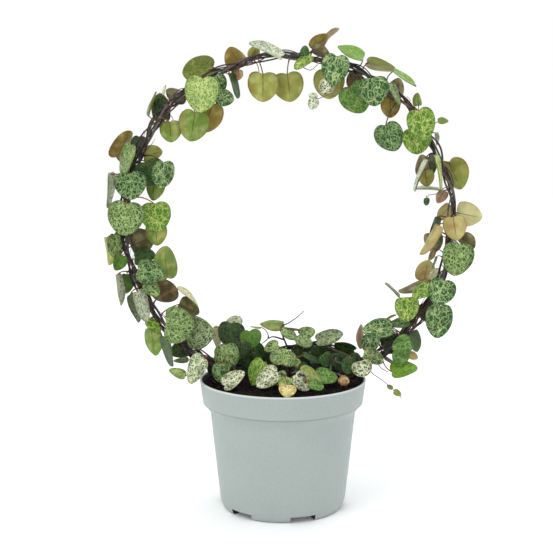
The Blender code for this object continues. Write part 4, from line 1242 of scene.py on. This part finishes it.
def soil_material():
    """Damp dark compost."""
    material, tree, shader = new_material("soil", 0.92, 0.2)
    ground = new_node(tree, "Attribute", attribute_name="ground").outputs["Color"]
    place = new_node(tree, "TexCoord").outputs["Object"]
    damp = mix(tree, 1.0, ground, (0.35, 0.33, 0.32, 1.0), "MULTIPLY")
    shade = mix(tree, ramp(tree, grain(tree, place, 260.0, 4.0), 0.35, 0.65), damp, ground)
    tree.links.new(shade, shader.inputs["Base Color"])
    add_bump(tree, shader, grain(tree, place, 900.0, 5.0), 0.0008)
    return material


def pot_material(name, colours):
    """Moulded plastic, clouded and faintly flecked, with light scuffs, a painted highlight along the rim and a
    painted shade line under the lip.
    """
    dark, light, speck, rub = (colour(c) for c in colours)
    material, tree, shader = new_material(name, 0.46, 0.45)
    place = new_node(tree, "TexCoord").outputs["Object"]
    fleck = ramp(tree, grain(tree, place, 700.0, 3.0), 0.4, 0.62)
    cloud = grain(tree, place, 26.0, 3.0)
    base = mix(tree, cloud, dark, light)
    base = mix(tree, math_node(tree, "MULTIPLY", fleck, 0.16), base, speck)
    drawn = new_node(tree, "Mapping", {"Vector": place, "Scale": (1.0, 1.0, 0.12)}).outputs[0]
    scuff = ramp(tree, grain(tree, drawn, 240.0, 4.0), 0.66, 0.74)
    base = mix(tree, math_node(tree, "MULTIPLY", scuff, 0.12), base, rub)
    height = new_node(tree, "SeparateXYZ", {"Vector": place}).outputs[2]
    # Painted highlight: near white along the top of the rim.
    coat_wear_and_rim_highlight = ramp(tree, height, *(z * MM for z in RIM_HIGHLIGHT_Z))
    base = mix(tree, product(tree, coat_wear_and_rim_highlight, 0.55), base, colour(RIM_HIGHLIGHT_COLOUR))
    # Painted shade: a darker olive line under the lip's band.
    low, middle, high = (z * MM for z in LIP_SHADE_Z)
    lip_shade = product(tree, ramp(tree, height, low, middle), inverse(tree, ramp(tree, height, middle, high)))
    base = mix(tree, product(tree, lip_shade, 0.6), base, colour(LIP_SHADE_COLOUR))
    tree.links.new(base, shader.inputs["Base Color"])
    rough = math_node(tree, "MULTIPLY_ADD", grain(tree, place, 90.0), 0.16, 0.38)
    tree.links.new(rough, shader.inputs["Roughness"])
    add_bump(tree, shader, grain(tree, place, 1400.0, 2.0), 0.00006)
    return material


def floor_material():
    material, tree, shader = new_material("floor", 0.9, 0.1)
    place = new_node(tree, "TexCoord").outputs["Object"]
    near, far = colour((252, 253, 254)), colour((249, 251, 252))
    tree.links.new(mix(tree, grain(tree, place, 3.0), near, far), shader.inputs["Base Color"])
    shader.inputs["Emission Color"].default_value = (1.0, 1.0, 1.0, 1.0)
    shader.inputs["Emission Strength"].default_value = 0.08
    return material


# Stage.


def make_stage():
    bpy.ops.mesh.primitive_plane_add(size=6.0)
    floor = bpy.context.object
    floor.name = "floor"
    floor.data.materials.append(floor_material())


def add_light(name, place, size, power, tint):
    data = bpy.data.lights.new(name, "AREA")
    data.shape = "DISK"
    data.size = size
    data.energy = power
    data.color = tint
    light = bpy.data.objects.new(name, data)
    light.location = place
    light.rotation_euler = (Vector((0.0, 0.0, 0.15)) - Vector(place)).to_track_quat("-Z", "Y").to_euler()
    bpy.context.scene.collection.objects.link(light)


def make_light():
    world = bpy.data.worlds.new("studio")
    world.use_nodes = True
    background = world.node_tree.nodes["Background"]
    background.inputs["Color"].default_value = (1.0, 1.0, 1.0, 1.0)
    background.inputs["Strength"].default_value = 1.0
    scene = bpy.context.scene
    scene.world = world
    scene.view_settings.view_transform = "Standard"
    add_light("key", (-0.7, -0.9, 1.3), 0.8, 5.0, (1.0, 0.98, 0.95))
    add_light("back", (0.6, 0.9, 1.1), 0.9, 2.5, (1.0, 1.0, 1.0))


def make_camera():
    data = bpy.data.cameras.new("camera")
    data.lens = LENS
    data.sensor_width = 36.0
    camera = bpy.data.objects.new("camera", data)
    camera.location = EYE * MM
    camera.rotation_euler = (math.radians(CAMERA_TILT), 0.0, 0.0)
    bpy.context.scene.collection.objects.link(camera)
    bpy.context.scene.camera = camera


def corners(box):
    return [list(corner) for corner in box]


OUTLINE = heart_outline()
GRID = blade_grid()
MATERIALS = (leaf_material(), stem_material())
make_vines()
make_sprigs()
make_hoop()
make_soil()
make_pot()
make_stage()
make_light()
make_camera()
